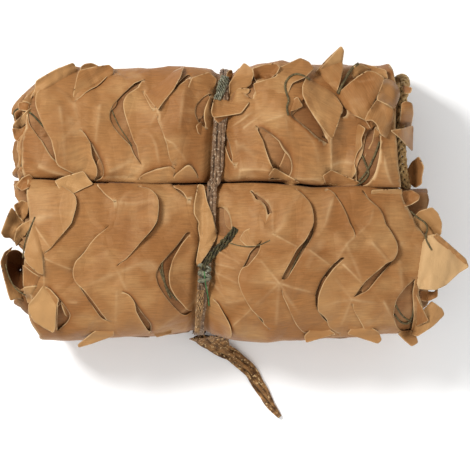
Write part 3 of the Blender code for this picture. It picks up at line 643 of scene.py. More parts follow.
def stand_leaves(points, slits):
    """Height, rim, tone and sideways shift of each point of a sheet, from its slits."""
    height, rim, tone = (np.zeros(len(points)) for _ in range(3))
    shift = np.zeros((len(points), 2))
    random = np.random.RandomState(len(slits))
    for slit in slits:
        index = np.nonzero(around(points, slit.ring(), 2.2 * LIP_REACH))[0]
        here = points[index]
        from_edge, share, _ = to_line(here, slit.edge)
        from_parted, share_parted, _ = to_line(here, slit.parted)
        in_leaf = inside(here, slit.edge)
        leaf_side = from_edge <= from_parted + 1e-9
        on_leaf = (in_leaf | leaf_side) & ~((from_parted < 1e-7) & (from_edge > 1e-7))
        depth = np.clip(((here - slit.edge[0]) @ slit.out) / slit.depth, 0, 1)
        root = np.where(in_leaf | ((from_edge < 1e-7) & on_leaf), depth, 0.0)
        curl = np.where(on_leaf, np.exp(-from_edge / LIP_REACH), -0.5 * np.exp(-from_parted / LIP_REACH))
        taper = np.where(on_leaf, np.sin(math.pi * share), np.sin(math.pi * share_parted)) ** 0.7
        height[index] += 0.8 * slit.lift * root**1.3 + slit.lip * curl * taper
        place = np.linspace(0, 1, len(slit.edge))
        gap = np.interp(share, place, slit.gap)
        closing = (gap + LAP) * (1 - smooth((gap - LAP_GAP) / LAP_FADE))
        closing *= smooth(np.minimum(share, 1 - share) / 0.14)
        closing *= np.where(on_leaf, np.exp(-((from_edge / LAP_REACH) ** 2)), 0.0)
        way = np.stack([np.interp(share, place, slit.away[:, axis]) for axis in (0, 1)], axis=1)
        shift[index] += way * closing[:, None]
        # Each leaf is painted a little lighter or darker at random, most at its tip: painted light and
        # shade for its tilt.
        tone[index] += random.uniform(-0.55, 0.60) * root**0.6
        # Painted shadow: a dark line on the parted side, under the lifted edge, stronger for leaves facing
        # one way.
        shadow_weight = np.clip(0.35 + 0.65 * way @ np.array([0.72, -0.69]), 0.1, 1.0) * smooth(taper / 0.5)
        painted_shadow = np.where(on_leaf, 0.0, np.exp(-((from_parted / SHADOW_LINE_REACH) ** 2))) * shadow_weight
        tone[index] = np.minimum(tone[index], np.where(painted_shadow > 0.03, -1.9 * painted_shadow, 2.0))
        close = np.minimum(from_edge, from_parted)
        ends = np.clip(np.minimum(share, 1 - share) / 0.06, 0, 1)
        rim[index] = np.maximum(rim[index], np.clip(1 - close / RIM_WIDTH, 0, 1) * ends)
    return height, rim, tone, shift


def crease_rows(section, crease):
    """Points along a crease and close beside it, so that its ridge is sharp."""
    start, end = on_face(section, (crease.start, crease.end))
    length = np.linalg.norm(end - start)
    run = (end - start) / length
    side = np.array([-run[1], run[0]]) * crease.width * MM * 0.8
    along = start + (end - start) * np.linspace(0, 1, max(3, round(length / 0.0016)))[:, None]
    return np.concatenate([along, along + side, along - side])


LONG_SLOPE, SHORT_SLOPE = 0.015, 0.0055  # how far a fold's two slopes run
CREASE_RISE = 0.0026


def crease_heights(points, section, creases):
    """Height and pale strain-and-highlight marks from a sheet's creases, each two slopes that meet in a
    sharp ridge.
    """
    raised, sunk, strain = (np.zeros(len(points)) for _ in range(3))
    for number, crease in enumerate(creases):
        line = np.array(on_face(section, (crease.start, crease.end)))
        distance, share, side = to_line(points, line)
        gentle = (side > 0) == bool(number % 2)
        reach = np.where(gentle, LONG_SLOPE, SHORT_SLOPE)
        slopes = np.clip(1 - distance / reach, 0, 1) * (1 - 0.45 * share)
        ridge = np.exp(-distance / (0.35 * crease.width * MM)) * (1 - 0.5 * share)
        rise = CREASE_RISE * crease.height * slopes + 0.0003 * crease.height * ridge
        raised, sunk = np.maximum(raised, rise), np.minimum(sunk, rise)
        strain = np.maximum(strain, np.clip(abs(crease.height), 0, 1) * (0.70 * ridge + 0.20 * slopes**2))
    return raised + sunk, strain


# %% A sheet in place
def as_corners(faces):
    """Faces as plain tuples of point numbers."""
    return [tuple(int(k) for k in face) for face in faces]


def add_piece(name, points, faces, material, uv=None, carried=None):
    """A mesh object with its flat layout and the numbers that its finish reads."""
    mesh = bpy.data.meshes.new(name)
    mesh.from_pydata([tuple(point) for point in points], [], as_corners(faces))
    if uv is not None:
        layer = mesh.uv_layers.new(name="flat")
        loops = np.zeros(len(mesh.loops), np.int32)
        mesh.loops.foreach_get("vertex_index", loops)
        layer.data.foreach_set("uv", np.asarray(uv, np.float32)[loops].ravel())
    for key, values in (carried or {}).items():
        attribute = mesh.attributes.new(key, "FLOAT", "POINT")
        attribute.data.foreach_set("value", np.asarray(values, np.float32))
    mesh.materials.append(material)
    mesh.shade_smooth()
    piece = bpy.data.objects.new(name, mesh)
    bpy.context.scene.collection.objects.link(piece)
    return piece


def thicken(piece, thickness):
    """Gives a sheet its two faces and a rim."""
    solid = piece.modifiers.new("thickness", "SOLIDIFY")
    solid.thickness, solid.offset = thickness, 0.0
    solid.use_even_offset = False


def calm(points, section):
    """1 where the cloth may swell, 0 in the crease, below and under the strap, and 1 off the surface."""
    y, z = section.at(points[:, 1])
    clear = smooth((np.abs(points[:, 0] - strap_centre(y)) - 0.0055) / 0.006)
    tucked = smooth((np.abs(y - CREASE_Y) - 0.003) / 0.010)
    upper = smooth((z - 0.004) / 0.012)
    return clear * tucked * upper, upper


Cloth = namedtuple("Cloth", "points faces flat rim strain tone")
CLOTH_THICK = 0.0003
BESIDE = 0.0010  # how close to a cut its rows of points lie
ROUGHNESS = 2.4  # how strongly the cloth is crushed, every turn of it alike, so that the turns nest


def cloth_sheet(section, outline, slits, creases, seed, pitch):
    """A whole leaf-cut sheet, wrapped round the bundle. Its ends curl down past the wound net."""
    rings = [outline] + [slit.ring() for slit in slits]
    beside = [slit.beside(BESIDE) for slit in slits] + [crease_rows(section, crease) for crease in creases]
    beside = np.concatenate(beside)
    _, first = np.unique(np.round(beside / 0.0007), axis=0, return_index=True)
    flat, faces = fill_pattern(rings, beside[np.sort(first)], pitch, BESIDE)
    height, rim, tone, shift = stand_leaves(flat, slits)
    ridges, strain = crease_heights(flat, section, creases)
    free, upper = calm(flat, section)
    height = height + ridges
    same = flat * (1.0, OUTER.length / section.length)
    height += 0.0013 * (1 + swell(same, 0.042, 11)) + 0.0004 * swell(same, 0.017, 12)
    on_far = smooth((same[:, 1] - 0.5 * OUTER.length) / 0.05)
    rough = ROUGHNESS * (1 + on_far * (0.5 + 0.6 * smooth((same[:, 0] - 0.01) / 0.05)))
    height += rough * 0.0011 * (1 + facets(same, 0.030, 13))
    height += rough * 0.0005 * (1 + facets(same, 0.013, 18, 1.1))
    height *= free * (0.35 + 0.65 * smooth(np.interp(flat[:, 1], section.fine, section.out[:, 1]) / 0.5))
    past = np.maximum(np.maximum(LEFT_END - 0.004 - flat[:, 0], flat[:, 0] - NEAR_RIGHT_END), 0.0)
    height -= 7.0 * past**2 * (1 - 0.4 * upper)
    height += 0.10 * past * swell(flat, 0.028, seed + 5) * upper
    edge_distance, _, _ = to_line(flat, np.concatenate([outline, outline[:1]]))
    on_edge = np.clip(1 - edge_distance / RIM_WIDTH, 0, 1)
    y, z = section.at(flat[:, 1] + shift[:, 1], height)
    points = settle(np.stack([flat[:, 0] + shift[:, 0], y, z], axis=1))
    return Cloth(points, faces[:, ::-1], flat, np.maximum(rim, on_edge), strain, tone)


def cloth_piece(name, sheets, material):
    """One piece from several sheets of the same cloth."""
    starts = np.cumsum([0] + [len(sheet.points) for sheet in sheets])
    faces = np.concatenate([sheet.faces + start for sheet, start in zip(sheets, starts)])
    keys = ("points", "flat", "rim", "strain", "tone")
    together = [np.concatenate([getattr(sheet, key) for sheet in sheets]) for key in keys]
    points, flat, rim, strain, tone = together
    piece = add_piece(name, points, faces, material, flat, {"rim": rim, "strain": strain, "tone": tone})
    thicken(piece, CLOTH_THICK)
    return piece


# %% [markdown]
# ## The slits of the outer cloth
# Each row below is one slit of the upper face, drawn on the grid along its leaf's edge. A slit that stands
# open has a second row of cells for its other side. The slits run in chains of curved chevrons across both
# rolls. Down the sides, where the cloth isn't pulled about, a loop repeats the cloth's own pattern.

# %% Slits of the far roll
Cut = namedtuple("Cut", "edge parted gape lift", defaults=(None, 0.4, 3.0))
FAR_CUTS = (
    Cut(((76, 76), (61, 80), (46, 88), (36, 98), (36, 108), (45, 129), (55, 146), (64, 157), (79, 167),
         (90, 174)),
        ((58, 79), (44, 87), (32, 98), (28, 112), (30, 125), (41, 139), (52, 150), (66, 161), (79, 169)),
        lift=4.0),
    Cut(((113, 75), (109, 79), (100, 85), (90, 90), (80, 97), (74, 103)), gape=0.2, lift=1.5),
    Cut(((80, 128), (86, 139), (92, 149), (97, 158), (98, 166), (96, 173), (93, 178)),
        ((90, 141), (98, 151), (103, 160), (104, 169), (100, 176)), lift=2.0),
    Cut(((146, 85), (136, 92), (127, 98), (123, 104), (124, 112), (128, 124), (134, 141), (142, 159)),
        ((134, 88), (122, 97), (113, 106), (110, 113), (110, 120), (116, 130), (126, 140), (134, 150))),
    Cut(((144, 92), (150, 102), (156, 112)), gape=0.8, lift=1.5),
    Cut(((158, 116), (164, 127), (167, 135), (171, 146), (177, 160)), gape=0.8, lift=2.0),
    Cut(((160, 111), (167, 102), (181, 90), (192, 84)), ((165, 102), (180, 87), (188, 81)), lift=1.0),
    Cut(((212, 97), (207, 106), (204, 113), (204, 121), (208, 130)),
        ((204, 100), (196, 107), (195, 115), (199, 123)), lift=0.5),
    Cut(((173, 173), (181, 166), (189, 159), (194, 166), (198, 174)), gape=0.2, lift=1.5),
    Cut(((138, 177), (143, 171), (159, 166), (176, 163)), lift=1.0),
    Cut(((222, 128), (230, 144), (238, 159)), ((222, 141), (228, 153)), lift=1.0),
    Cut(((255, 126), (262, 138), (269, 150), (275, 161), (272, 171), (268, 176)),
        ((269, 133), (282, 142), (290, 150), (292, 160), (288, 170), (279, 176)), lift=2.0),
    Cut(((253, 83), (258, 92), (251, 102)), ((248, 90), (244, 96)), lift=0.5),
    Cut(((303, 103), (311, 114), (321, 128), (328, 142)),
        ((294, 110), (290, 116), (305, 127), (318, 137)), lift=0.5),
    Cut(((326, 165), (324, 172), (318, 179)), gape=1.0, lift=1.0),
    Cut(((374, 126), (379, 133), (380, 143), (376, 156), (372, 168), (366, 177), (359, 183)),
        ((366, 133), (363, 147), (357, 156), (356, 167), (357, 178)), lift=1.0),
    Cut(((341, 118), (342, 113), (345, 109)), ((346, 117), (347, 112)), lift=0.5),
)  # fmt: skip

# %% Slits of the near roll
NEAR_CUTS = (
    Cut(((58, 188), (64, 195), (70, 201), (75, 208), (76, 215), (73, 223), (57, 240), (45, 254)), gape=0.1),
    Cut(((97, 188), (106, 198), (118, 209)), gape=0.3, lift=1.5),
    Cut(((137, 188), (145, 195), (153, 204), (157, 212), (156, 222), (151, 230), (138, 243), (117, 266)),
        gape=1.0, lift=4.5),
    Cut(((173, 187), (181, 194), (192, 207)), gape=1.2, lift=1.5),
    Cut(((110, 227), (98, 240), (88, 252), (79, 262), (76, 270), (77, 277), (86, 289), (97, 303),
         (106, 314), (112, 318)),
        ((98, 238), (87, 250), (78, 260), (74.6, 270), (75.6, 278), (83.5, 290), (94, 304), (103, 315)),
        lift=3.5),
    Cut(((191, 234), (182, 244), (173, 259), (169, 274), (170, 285), (176, 295), (183, 302), (192, 311)),
        ((187, 233), (178, 245), (160, 265), (156, 274), (158, 283), (165, 294), (176, 306), (184, 312)),
        lift=2.5),
    Cut(((122, 289), (130, 296), (135, 304), (141, 314), (147, 323), (150, 329)),
        ((131, 295), (137, 303), (144, 312), (151, 320)), lift=1.5),
    Cut(((45, 284), (53, 292), (59, 300), (58, 312), (57, 326)),
        ((54, 292), (63, 301), (71, 312), (68, 319)), lift=2.5),
    Cut(((215, 207), (215, 220), (218, 235)), ((222, 208), (230, 217), (232, 230), (226, 237)), lift=0.5),
    Cut(((233, 241), (223, 246), (215, 254), (210, 262)), gape=0.6, lift=2.0),
    Cut(((250, 192), (260, 207), (272, 221)), ((258, 200), (266, 207), (270, 213)), lift=1.0),
    Cut(((294, 193), (300, 204), (308, 216), (311, 225), (310, 234), (304, 243), (297, 249), (288, 265),
         (281, 278)),
        ((302, 205), (310, 217), (313, 227), (312, 237), (304, 250), (294, 266), (286, 279)), lift=3.5),
    Cut(((262, 241), (258, 253), (244, 269), (240, 278), (243, 288), (252, 303), (264, 317), (270, 325)),
        ((257, 246), (250, 252), (247, 260), (242, 269), (238.6, 278), (241.6, 288.6), (250.6, 304),
         (261.6, 318)), lift=3.5),
    Cut(((281, 287), (289, 301), (298, 318), (307, 328)), lift=1.0),
    Cut(((324, 193), (335, 208), (348, 227), (355, 239)), gape=0.2, lift=2.0),
    Cut(((361, 195), (368, 208), (380, 221), (389, 235), (394, 243), (395, 251), (390, 260), (379, 269),
         (364, 281), (353, 295)),
        ((362.4, 195), (369.4, 207.4), (381.4, 220.4), (390.4, 234.4), (395.6, 243), (396.4, 252),
         (391, 262), (379, 275), (367, 289)), lift=3.5),
    Cut(((344, 258), (333, 268), (323, 281), (318, 292), (318, 304), (325, 313), (340, 328)),
        ((341, 257), (330, 267), (320.6, 279), (315.4, 291), (315.6, 304), (323, 315)), lift=3.5),
    Cut(((351, 300), (360, 313), (371, 326), (379, 333)), lift=1.5),
    Cut(((415, 278), (412, 290), (414, 312), (412, 327)),
        ((405, 286), (396, 297), (393, 310), (397, 320), (405, 327)), lift=0.5),
    Cut(((213, 297), (220, 308), (229, 321), (229, 327), (223, 333)), gape=0.6, lift=2.5),
)  # fmt: skip


def slits_from(cuts, section):
    """The slits of a table, on the flat cloth of a section."""
    found = []
    for cut in cuts:
        parted = on_face(section, cut.parted) if cut.parted else None
        found.append(Slit(on_face(section, cut.edge), parted, cut.gape * MM, cut.lift * MM))
    return found


# %% Slits down the sides
SIDE_PITCH, SIDE_WIDTH, SIDE_HEIGHT = 0.032, 0.021, 0.036


def side_slits(section, seed):
    """The cloth's regular slits down both long sides."""
    random = np.random.RandomState(seed)
    near, far = section.arc_at(NEAR_SHOULDER), section.arc_at(FAR_SHOULDER)
    found = []
    for first, last in ((near + 0.026, near + 0.072), (far - 0.070, far - 0.024)):
        for column, x in enumerate(np.arange(LEFT_END + 0.020, FAR_RIGHT_END + 0.006, SIDE_PITCH)):
            if abs(x - TIE_X) < 0.026:
                continue
            top = first + (0.007 if column % 2 else 0.0) + random.uniform(-0.001, 0.002)
            bottom = min(top + SIDE_HEIGHT * random.uniform(0.80, 1.0), last)
            tip = 0.5 * (top + bottom) + random.uniform(-0.003, 0.003)
            edge = [(x - SIDE_WIDTH / 2, top), (x + SIDE_WIDTH * 0.18, 0.6 * top + 0.4 * tip)]
            edge += [(x + SIDE_WIDTH * 0.50, tip), (x + SIDE_WIDTH * 0.10, 0.6 * bottom + 0.4 * tip)]
            edge.append((x - SIDE_WIDTH * random.uniform(0.35, 0.50), bottom))
            found.append(Slit(edge, None, random.uniform(0.0002, 0.0012), random.uniform(0.0008, 0.0024)))
    return found


# %% [markdown]
# ## Creases
# Where the net is knotted to its cords the cloth is gripped, and folds run out from the knot like rays.
# A few long folds cross the rolls besides. Each is given by its two ends on the grid, how high it stands
# against the others, and the width of its ridge in millimetres.

# %% Creases of both rolls
Crease = namedtuple("Crease", "start end height width")
CREASE_ROWS = (
    ((279, 282), (262, 262), 1.0, 1.6), ((279, 282), (244, 279), 0.7, 2.4),
    ((279, 282), (258, 300), 0.6, 2.2), ((279, 282), (276, 318), 0.6, 2.4),
    ((279, 282), (309, 290), 1.1, 1.6), ((279, 282), (300, 308), 0.7, 2.0),
    ((279, 282), (300, 262), 0.6, 2.0), ((273, 236), (296, 247), 1.1, 1.2),
    ((273, 236), (272, 215), 0.6, 1.8), ((273, 236), (296, 208), 0.6, 3.0),
    ((273, 236), (250, 214), 0.5, 3.0), ((346, 245), (372, 222), 0.7, 1.8),
    ((346, 245), (335, 262), 0.7, 2.0), ((346, 245), (360, 278), 0.6, 2.5),
    ((343, 265), (360, 281), 1.1, 1.4), ((310, 251), (332, 267), 1.1, 1.2),
    ((351, 297), (323, 302), 0.7, 2.4), ((351, 297), (336, 280), 0.6, 2.4),
    ((351, 297), (374, 300), 0.8, 2.0), ((351, 297), (342, 318), 0.6, 2.0),
    ((43, 257), (75, 270), 1.3, 1.3), ((45, 258), (45, 284), 1.1, 1.3), ((33, 225), (73, 219), 0.8, 1.6),
    ((33, 225), (50, 247), 0.9, 1.2), ((119, 210), (155, 213), 0.6, 1.2),
    ((119, 210), (132, 196), 0.5, 2.5), ((119, 272), (134, 302), 0.7, 2.4),
    ((119, 272), (92, 282), 0.6, 3.0), ((119, 272), (104, 248), 0.5, 4.0),
    ((119, 272), (146, 262), 0.6, 3.0), ((117, 290), (116, 316), 0.5, 2.0),
    ((77, 300), (66, 300), 0.6, 2.0), ((196, 300), (160, 322), 0.7, 2.2),
    ((196, 308), (180, 334), 0.6, 2.2), ((205, 262), (234, 268), 0.8, 1.6),
    ((205, 268), (240, 284), 0.8, 1.6), ((205, 274), (228, 300), 0.6, 1.8),
    ((230, 322), (252, 306), 0.9, 1.2), ((402, 243), (384, 262), 0.6, 3.0),
    ((399, 262), (402, 290), 0.6, 3.0), ((75, 106), (79, 124), 0.7, 3.0), ((75, 106), (78, 80), 0.5, 3.0),
    ((75, 106), (58, 92), 0.5, 3.0), ((75, 128), (58, 146), 0.4, 4.0), ((158, 112), (166, 128), 0.9, 1.8),
    ((158, 112), (150, 126), 0.5, 2.5), ((143, 160), (137, 176), 0.9, 1.8),
    ((143, 160), (128, 172), 0.5, 2.2), ((167, 136), (189, 158), 0.9, 1.0),
    ((240, 162), (272, 162), 1.3, 1.2), ((240, 162), (238, 178), 0.8, 1.6),
    ((285, 116), (255, 126), 0.8, 1.6), ((285, 116), (300, 126), 0.8, 1.6),
    ((285, 116), (287, 132), 0.5, 2.0), ((288, 172), (318, 170), 1.2, 1.8),
    ((331, 158), (358, 158), 1.0, 1.2), ((331, 145), (330, 178), 0.9, 1.4),
    ((247, 117), (232, 127), 1.0, 1.6), ((247, 117), (262, 108), 0.6, 2.0),
    ((100, 172), (136, 174), -1.0, 2.5), ((330, 138), (333, 176), 1.4, 2.2),
    ((290, 172), (320, 168), 1.2, 1.4), ((296, 120), (318, 150), 0.5, 2.2),
    ((244, 128), (262, 116), 0.9, 1.6), ((236, 140), (254, 148), 0.7, 1.8),
    ((384, 150), (392, 176), 0.9, 1.8), ((100, 108), (96, 140), 0.7, 2.4), ((60, 108), (66, 150), 0.6, 2.6),
    ((184, 96), (180, 126), 0.7, 2.2), ((110, 164), (132, 156), 0.8, 1.8), ((40, 160), (70, 172), 0.9, 2.2),
    ((152, 136), (160, 160), 0.7, 2.0), ((226, 300), (252, 296), 0.8, 1.6),
    ((214, 250), (238, 262), 0.9, 1.4), ((212, 262), (222, 286), 0.9, 1.4),
    ((330, 214), (318, 236), 0.7, 2.2), ((372, 244), (388, 262), 0.8, 1.8),
    ((384, 300), (400, 322), 0.8, 1.8),
)  # fmt: skip
CREASES = [Crease(*row) for row in CREASE_ROWS]
print("creases:", len(CREASES))

# %% [markdown]
# ## The edge of the outer cloth
# At the ends of the rolls the cloth stops in leaf tips of many lengths. Where they can be seen from above
# each end is a row of cells. Round the sides and below, a loop makes the same kind of teeth.

# %% The edge of the outer cloth
RIGHT_NEAR = (
    (402, 191), (402, 204), (410, 215), (419, 229), (431, 246), (429, 262), (422, 276), (418, 292),
    (424, 306), (416, 322), (420, 334),
)  # fmt: skip
RIGHT_FAR = (
    (388, 71), (393, 80), (396, 90), (396, 104), (395, 118), (395, 132), (397, 150), (400, 168),
    (401, 184),
)  # fmt: skip
LEFT_FAR = ((58, 75), (44, 84), (31, 96), (27, 112), (27, 126), (22, 147), (22, 166), (28, 177))
LEFT_NEAR = (
    (28, 188), (27, 201), (29, 213), (31, 224), (28, 245), (25, 262), (25, 286), (33, 296), (28, 306),
    (30, 317), (38, 326),
)  # fmt: skip


TOOTH_PITCH, TOOTH_REACH = 0.046, 0.005


def toothed_end(first_x, last_x, first, last, outward):
    """Leaf-shaped teeth along one end of the cloth, between two arc lengths."""
    count = max(1, round((last - first) / TOOTH_PITCH))
    size = (last - first) / count
    found = []
    for tooth in range(count):
        out = TOOTH_REACH * (1.0 + 0.35 * math.sin(2.3 * tooth + 1.0))
        for share, part in ((0.05, 0.1), (0.35, 0.85), (0.55, 1.0), (0.75, 0.8)):
            end_x = first_x + (last_x - first_x) * (tooth + share) / count
            found.append(np.array([end_x + outward * out * part, first + (tooth + share) * size]))
    return found


def sheet_outline(section, ends):
    """The ring of a flat cloth from its four end rows on the grid, with leaf teeth between them."""
    right_near, right_far, left_far, left_near = (on_face(section, rows) for rows in ends)
    right_side, left_side = (
        toothed_end(near[0] - way * 0.004, far[0] - way * 0.003, near[1] + 0.010, far[1] - 0.012, way)
        for near, far, way in ((right_near[-1], right_far[0], 1), (left_near[-1], left_far[0], -1))
    )
    foot, top = 0.0, section.length
    ring = [np.array([left_near[0][0], foot]), np.array([right_near[0][0], foot])]
    ring += right_near + right_side + right_far
    ring += [np.array([right_far[-1][0], top]), np.array([left_far[-1][0], top])]
    ring += left_far[::-1] + left_side[::-1] + left_near[::-1]
    return rounded(ring + [ring[0]], 0.004, 0.0020)[:-1]


# %% Make the outer cloth
FINE = 0.0024
outline = sheet_outline(OUTER, (RIGHT_NEAR, RIGHT_FAR, LEFT_FAR, LEFT_NEAR))
slits = slits_from(NEAR_CUTS + FAR_CUTS, OUTER) + side_slits(OUTER, 3)
outer_sheet = cloth_sheet(OUTER, outline, slits, CREASES, 11, FINE)
print("outer cloth:", len(outer_sheet.faces), "triangles")

# %% [markdown]
# ## The layer below
# Through the open slits the next turn of the same cloth shows. Less light reaches it, and its tans are also
# painted darker and redder, as painted shade. It is a second sheet, 2 mm further in, with slits of its own
# in a regular pattern.

# %% Make the second cloth
SECOND = Section(SECOND_INSET)


def second_slits(section):
    """Seeded slits of the layer below."""
    random = np.random.RandomState(5)
    found = []
    bands = [[section.arc_at(y) for y in across] for across in ((0.000, -0.100), (0.096, 0.022))]
    for first, last in bands:
        rows = max(1, round((last - first) / 0.052))
        for row in range(rows):
            for column, x in enumerate(np.arange(LEFT_END + 0.024, FAR_RIGHT_END, 0.036)):
                turn = 1 if (column + row) % 2 else -1
                top = first + (last - first) * row / rows + random.uniform(0.002, 0.006)
                x = x + random.uniform(-0.004, 0.004)
                bottom = top + 0.038
                middle = 0.5 * (top + bottom)
                edge = [(x - turn * 0.010, top), (x + turn * 0.011, middle), (x - turn * 0.010, bottom)]
                found.append(Slit(edge, None, 0.0, 0.0006, 0.0004, 0.006))
    return found


def moved(rows, by, most=1000, least=-1000):
    """End rows shifted by some cells, unevenly, so that the layers' ends don't line up."""
    return tuple((min(max(x + by * (1 + math.sin(0.31 * x + 0.17 * y)), least), most), y) for x, y in rows)


ends = (moved(RIGHT_NEAR, -3, 424), moved(RIGHT_FAR, -4))
ends += (moved(LEFT_FAR, -3, least=12), moved(LEFT_NEAR, 2))
COARSE = 0.0040
second_sheet = cloth_sheet(SECOND, sheet_outline(SECOND, ends), second_slits(SECOND), CREASES, 31, COARSE)
second_cloth = cloth_piece("second_leaf_cloth", [second_sheet], TAN_PAINTED_SHADE)
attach(second_cloth, "root")
print("second cloth:", len(second_cloth.data.polygons), "triangles")

# %% [markdown]
# ## The wound net
# Inside, the rest of the net is one long sheet that winds from the middle of one roll, across the back
# layer and into the other roll. Its turns show at both ends, close together and a little wavy, so its
# edges are uneven and each turn is made as its own thin wall of cloth.

# %% Wound layers
TURN_PITCH = 0.0033
INNERMOST = 0.0014  # half the height of the innermost turn
WAIST = 0.0034  # the turns lie this much tighter halfway along, where the strap pulls
STEP_START, STEP_END = math.radians(240), math.radians(315)  # where on its way round a turn steps in


def wound_line(roll, turning):
    """Mid line from the back layer to a roll's middle. Each turn steps in beside the crease."""
    smallest = min(roll.half_width, roll.half_height)
    found, turned = [], 0.0
    while True:
        turn, part = divmod(turned, 2 * math.pi)
        stepped = turn + float(smooth((part - STEP_START) / (STEP_END - STEP_START)))
        inset = THIRD_INSET + TURN_PITCH * stepped
        if smallest - inset < INNERMOST:
            return found
        found.append(roll_point(roll, -math.pi / 2 + turning * turned, inset))
        turned += 0.0042 / max(smallest - inset, 0.004)


def quads(rows, count, closed):
    """Faces between rows of points, each row with the same number of them."""
    found = []
    for row in range(rows - 1):
        here, there = row * count, (row + 1) * count
        for k in range(count if closed else count - 1):
            ahead = (k + 1) % count
            found.append((here + k, here + ahead, there + ahead, there + k))
    return found


def wound_net():
    """The long sheet in both rolls, with wavy, leaf-cut end edges."""
    line = np.array(wound_line(NEAR_ROLL, -1)[::-1] + wound_line(FAR_ROLL, 1))
    arc, out = arc_of(line), sides_of(line)
    y, z = line.T
    near_share = smooth((0.020 - y) / 0.016)
    right = FAR_RIGHT_END + 0.002 + (NEAR_RIGHT_END - FAR_RIGHT_END) * near_share
    flat = np.stack([arc, 0 * arc], axis=1)
    reach_right = 0.0045 * swell(flat, 0.016, 71) + 0.003 * np.abs(np.sin(arc * 70))
    reach_left = 0.0035 + 0.0055 * swell(flat, 0.015, 72) + 0.003 * np.abs(np.sin(arc * 66 + 1))
    facing_up = smooth((y + 0.104) / 0.022) * smooth((0.102 - y) / 0.022) * smooth((z - 0.010) / 0.020)
    # The turns stay back where a leaf is folded into a hollow at the left end.
    by_hollow = smooth((y + 0.078) / 0.008) * smooth((-0.037 - y) / 0.006)
    by_hollow += 0.5 * smooth((y + 0.026) / 0.006) * smooth((-0.010 - y) / 0.006)
    reach_left = reach_left * facing_up - 0.010 * (1 - facing_up) - 0.011 * by_hollow
    reach_right = reach_right * facing_up - 0.006 * (1 - facing_up)
    shares = (0.0, 0.02, 0.05, 0.10, 0.18, 0.25, 0.35, 0.50, 0.65, 0.75, 0.82, 0.90, 0.95, 0.98, 1.0)
    points, uv = [], []
    for share in shares:
        x = (LEFT_END - 0.002 - reach_left) * (1 - share) + (right + reach_right) * share
        field = np.stack([arc, x], axis=1)
        near_end = smooth(1 - np.minimum(share, 1 - share) / 0.12)
        push = (0.0005 + 0.0008 * near_end) * swell(field, 0.020, 73) - WAIST * math.sin(math.pi * share)
        side = line + out * push[:, None]
        points.append(settle(np.stack([x, side[:, 0], side[:, 1]], axis=1)))
        uv.append(np.stack([x, arc], axis=1))
    count = len(line)
    faces = quads(len(shares), count, False)
    total = len(shares) * count
    rim = np.zeros(total)
    rim[:count] = 0.8
    rim[-count:] = 0.8
    carried = {"rim": rim, "strain": np.zeros(total), "tone": np.zeros(total)}
    # The wound net takes the painted-shade tans of the layer below.
    piece = add_piece("wound_net", np.concatenate(points), faces, TAN_PAINTED_SHADE, np.concatenate(uv), carried)
    thicken(piece, 0.0005)
    print("wound net:", round(arc[-1], 2), "m long,", len(faces), "faces")
    return piece, float(arc[-1])


wound, wound_length = wound_net()
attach(wound, "root")
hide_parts("net_roll")

# %% [markdown]
# ## The tie
# A flat strap of twisted brown cloth goes once round both rolls, bridges the crease and ends in a loose
# tail on the surface. Twisted cloth is a bundle of strands that wind slowly round a common line, so the
# strap is swept as several flat strands side by side, each turning on its way.

# %% Swept strands
def frames_along(path, up, closed):
    """Unit directions across a band and away from it."""
    if closed:
        run = np.roll(path, -1, axis=0) - np.roll(path, 1, axis=0)
    else:
        run = np.gradient(path, axis=0)
    run = unit(run)
    wide = unit(np.cross(run, up))
    return wide, np.cross(wide, run)


def leaned(wide, out, lean):
    """The two directions of a band that leans over by an angle at each point."""
    cosine, sine = np.cos(lean)[:, None], np.sin(lean)[:, None]
    return wide * cosine + out * sine, out * cosine - wide * sine


def sweep(path, wide, out, widths, depths, closed, corners=8, soft=0.8):
    """Points and faces of a flat, round-edged band along a path."""
    angles = np.array([2 * math.pi * (k + 0.5) / corners for k in range(corners)])
    c, s = np.cos(angles), np.sin(angles)
    c, s = np.sign(c) * np.abs(c) ** soft, np.sign(s) * np.abs(s) ** soft
    points = (
        path[:, None, :]
        + wide[:, None, :] * (widths[:, None] / 2 * c[None, :])[:, :, None]
        + out[:, None, :] * (depths[:, None] / 2 * s[None, :])[:, :, None]
    ).reshape(-1, 3)
    count, faces = len(path), []
    for k in range(count if closed else count - 1):
        a, b = k * corners, (k + 1) % count * corners
        faces += [(a + j, a + (j + 1) % corners, b + (j + 1) % corners, b + j) for j in range(corners)]
    if not closed:
        faces.append(tuple(range(corners))[::-1])
        faces.append(tuple(range((count - 1) * corners, count * corners)))
    return points, faces


def joined(name, parts, material):
    """One piece from several swept bands."""
    points, faces, start = [], [], 0
    for part_points, part_faces in parts:
        points.append(part_points)
        faces += [tuple(k + start for k in face) for face in part_faces]
        start += len(part_points)
    piece = add_piece(name, np.concatenate(points), faces, material)
    shape = bmesh.new()
    shape.from_mesh(piece.data)
    bmesh.ops.recalc_face_normals(shape, faces=shape.faces)
    shape.to_mesh(piece.data)
    shape.free()
    return piece


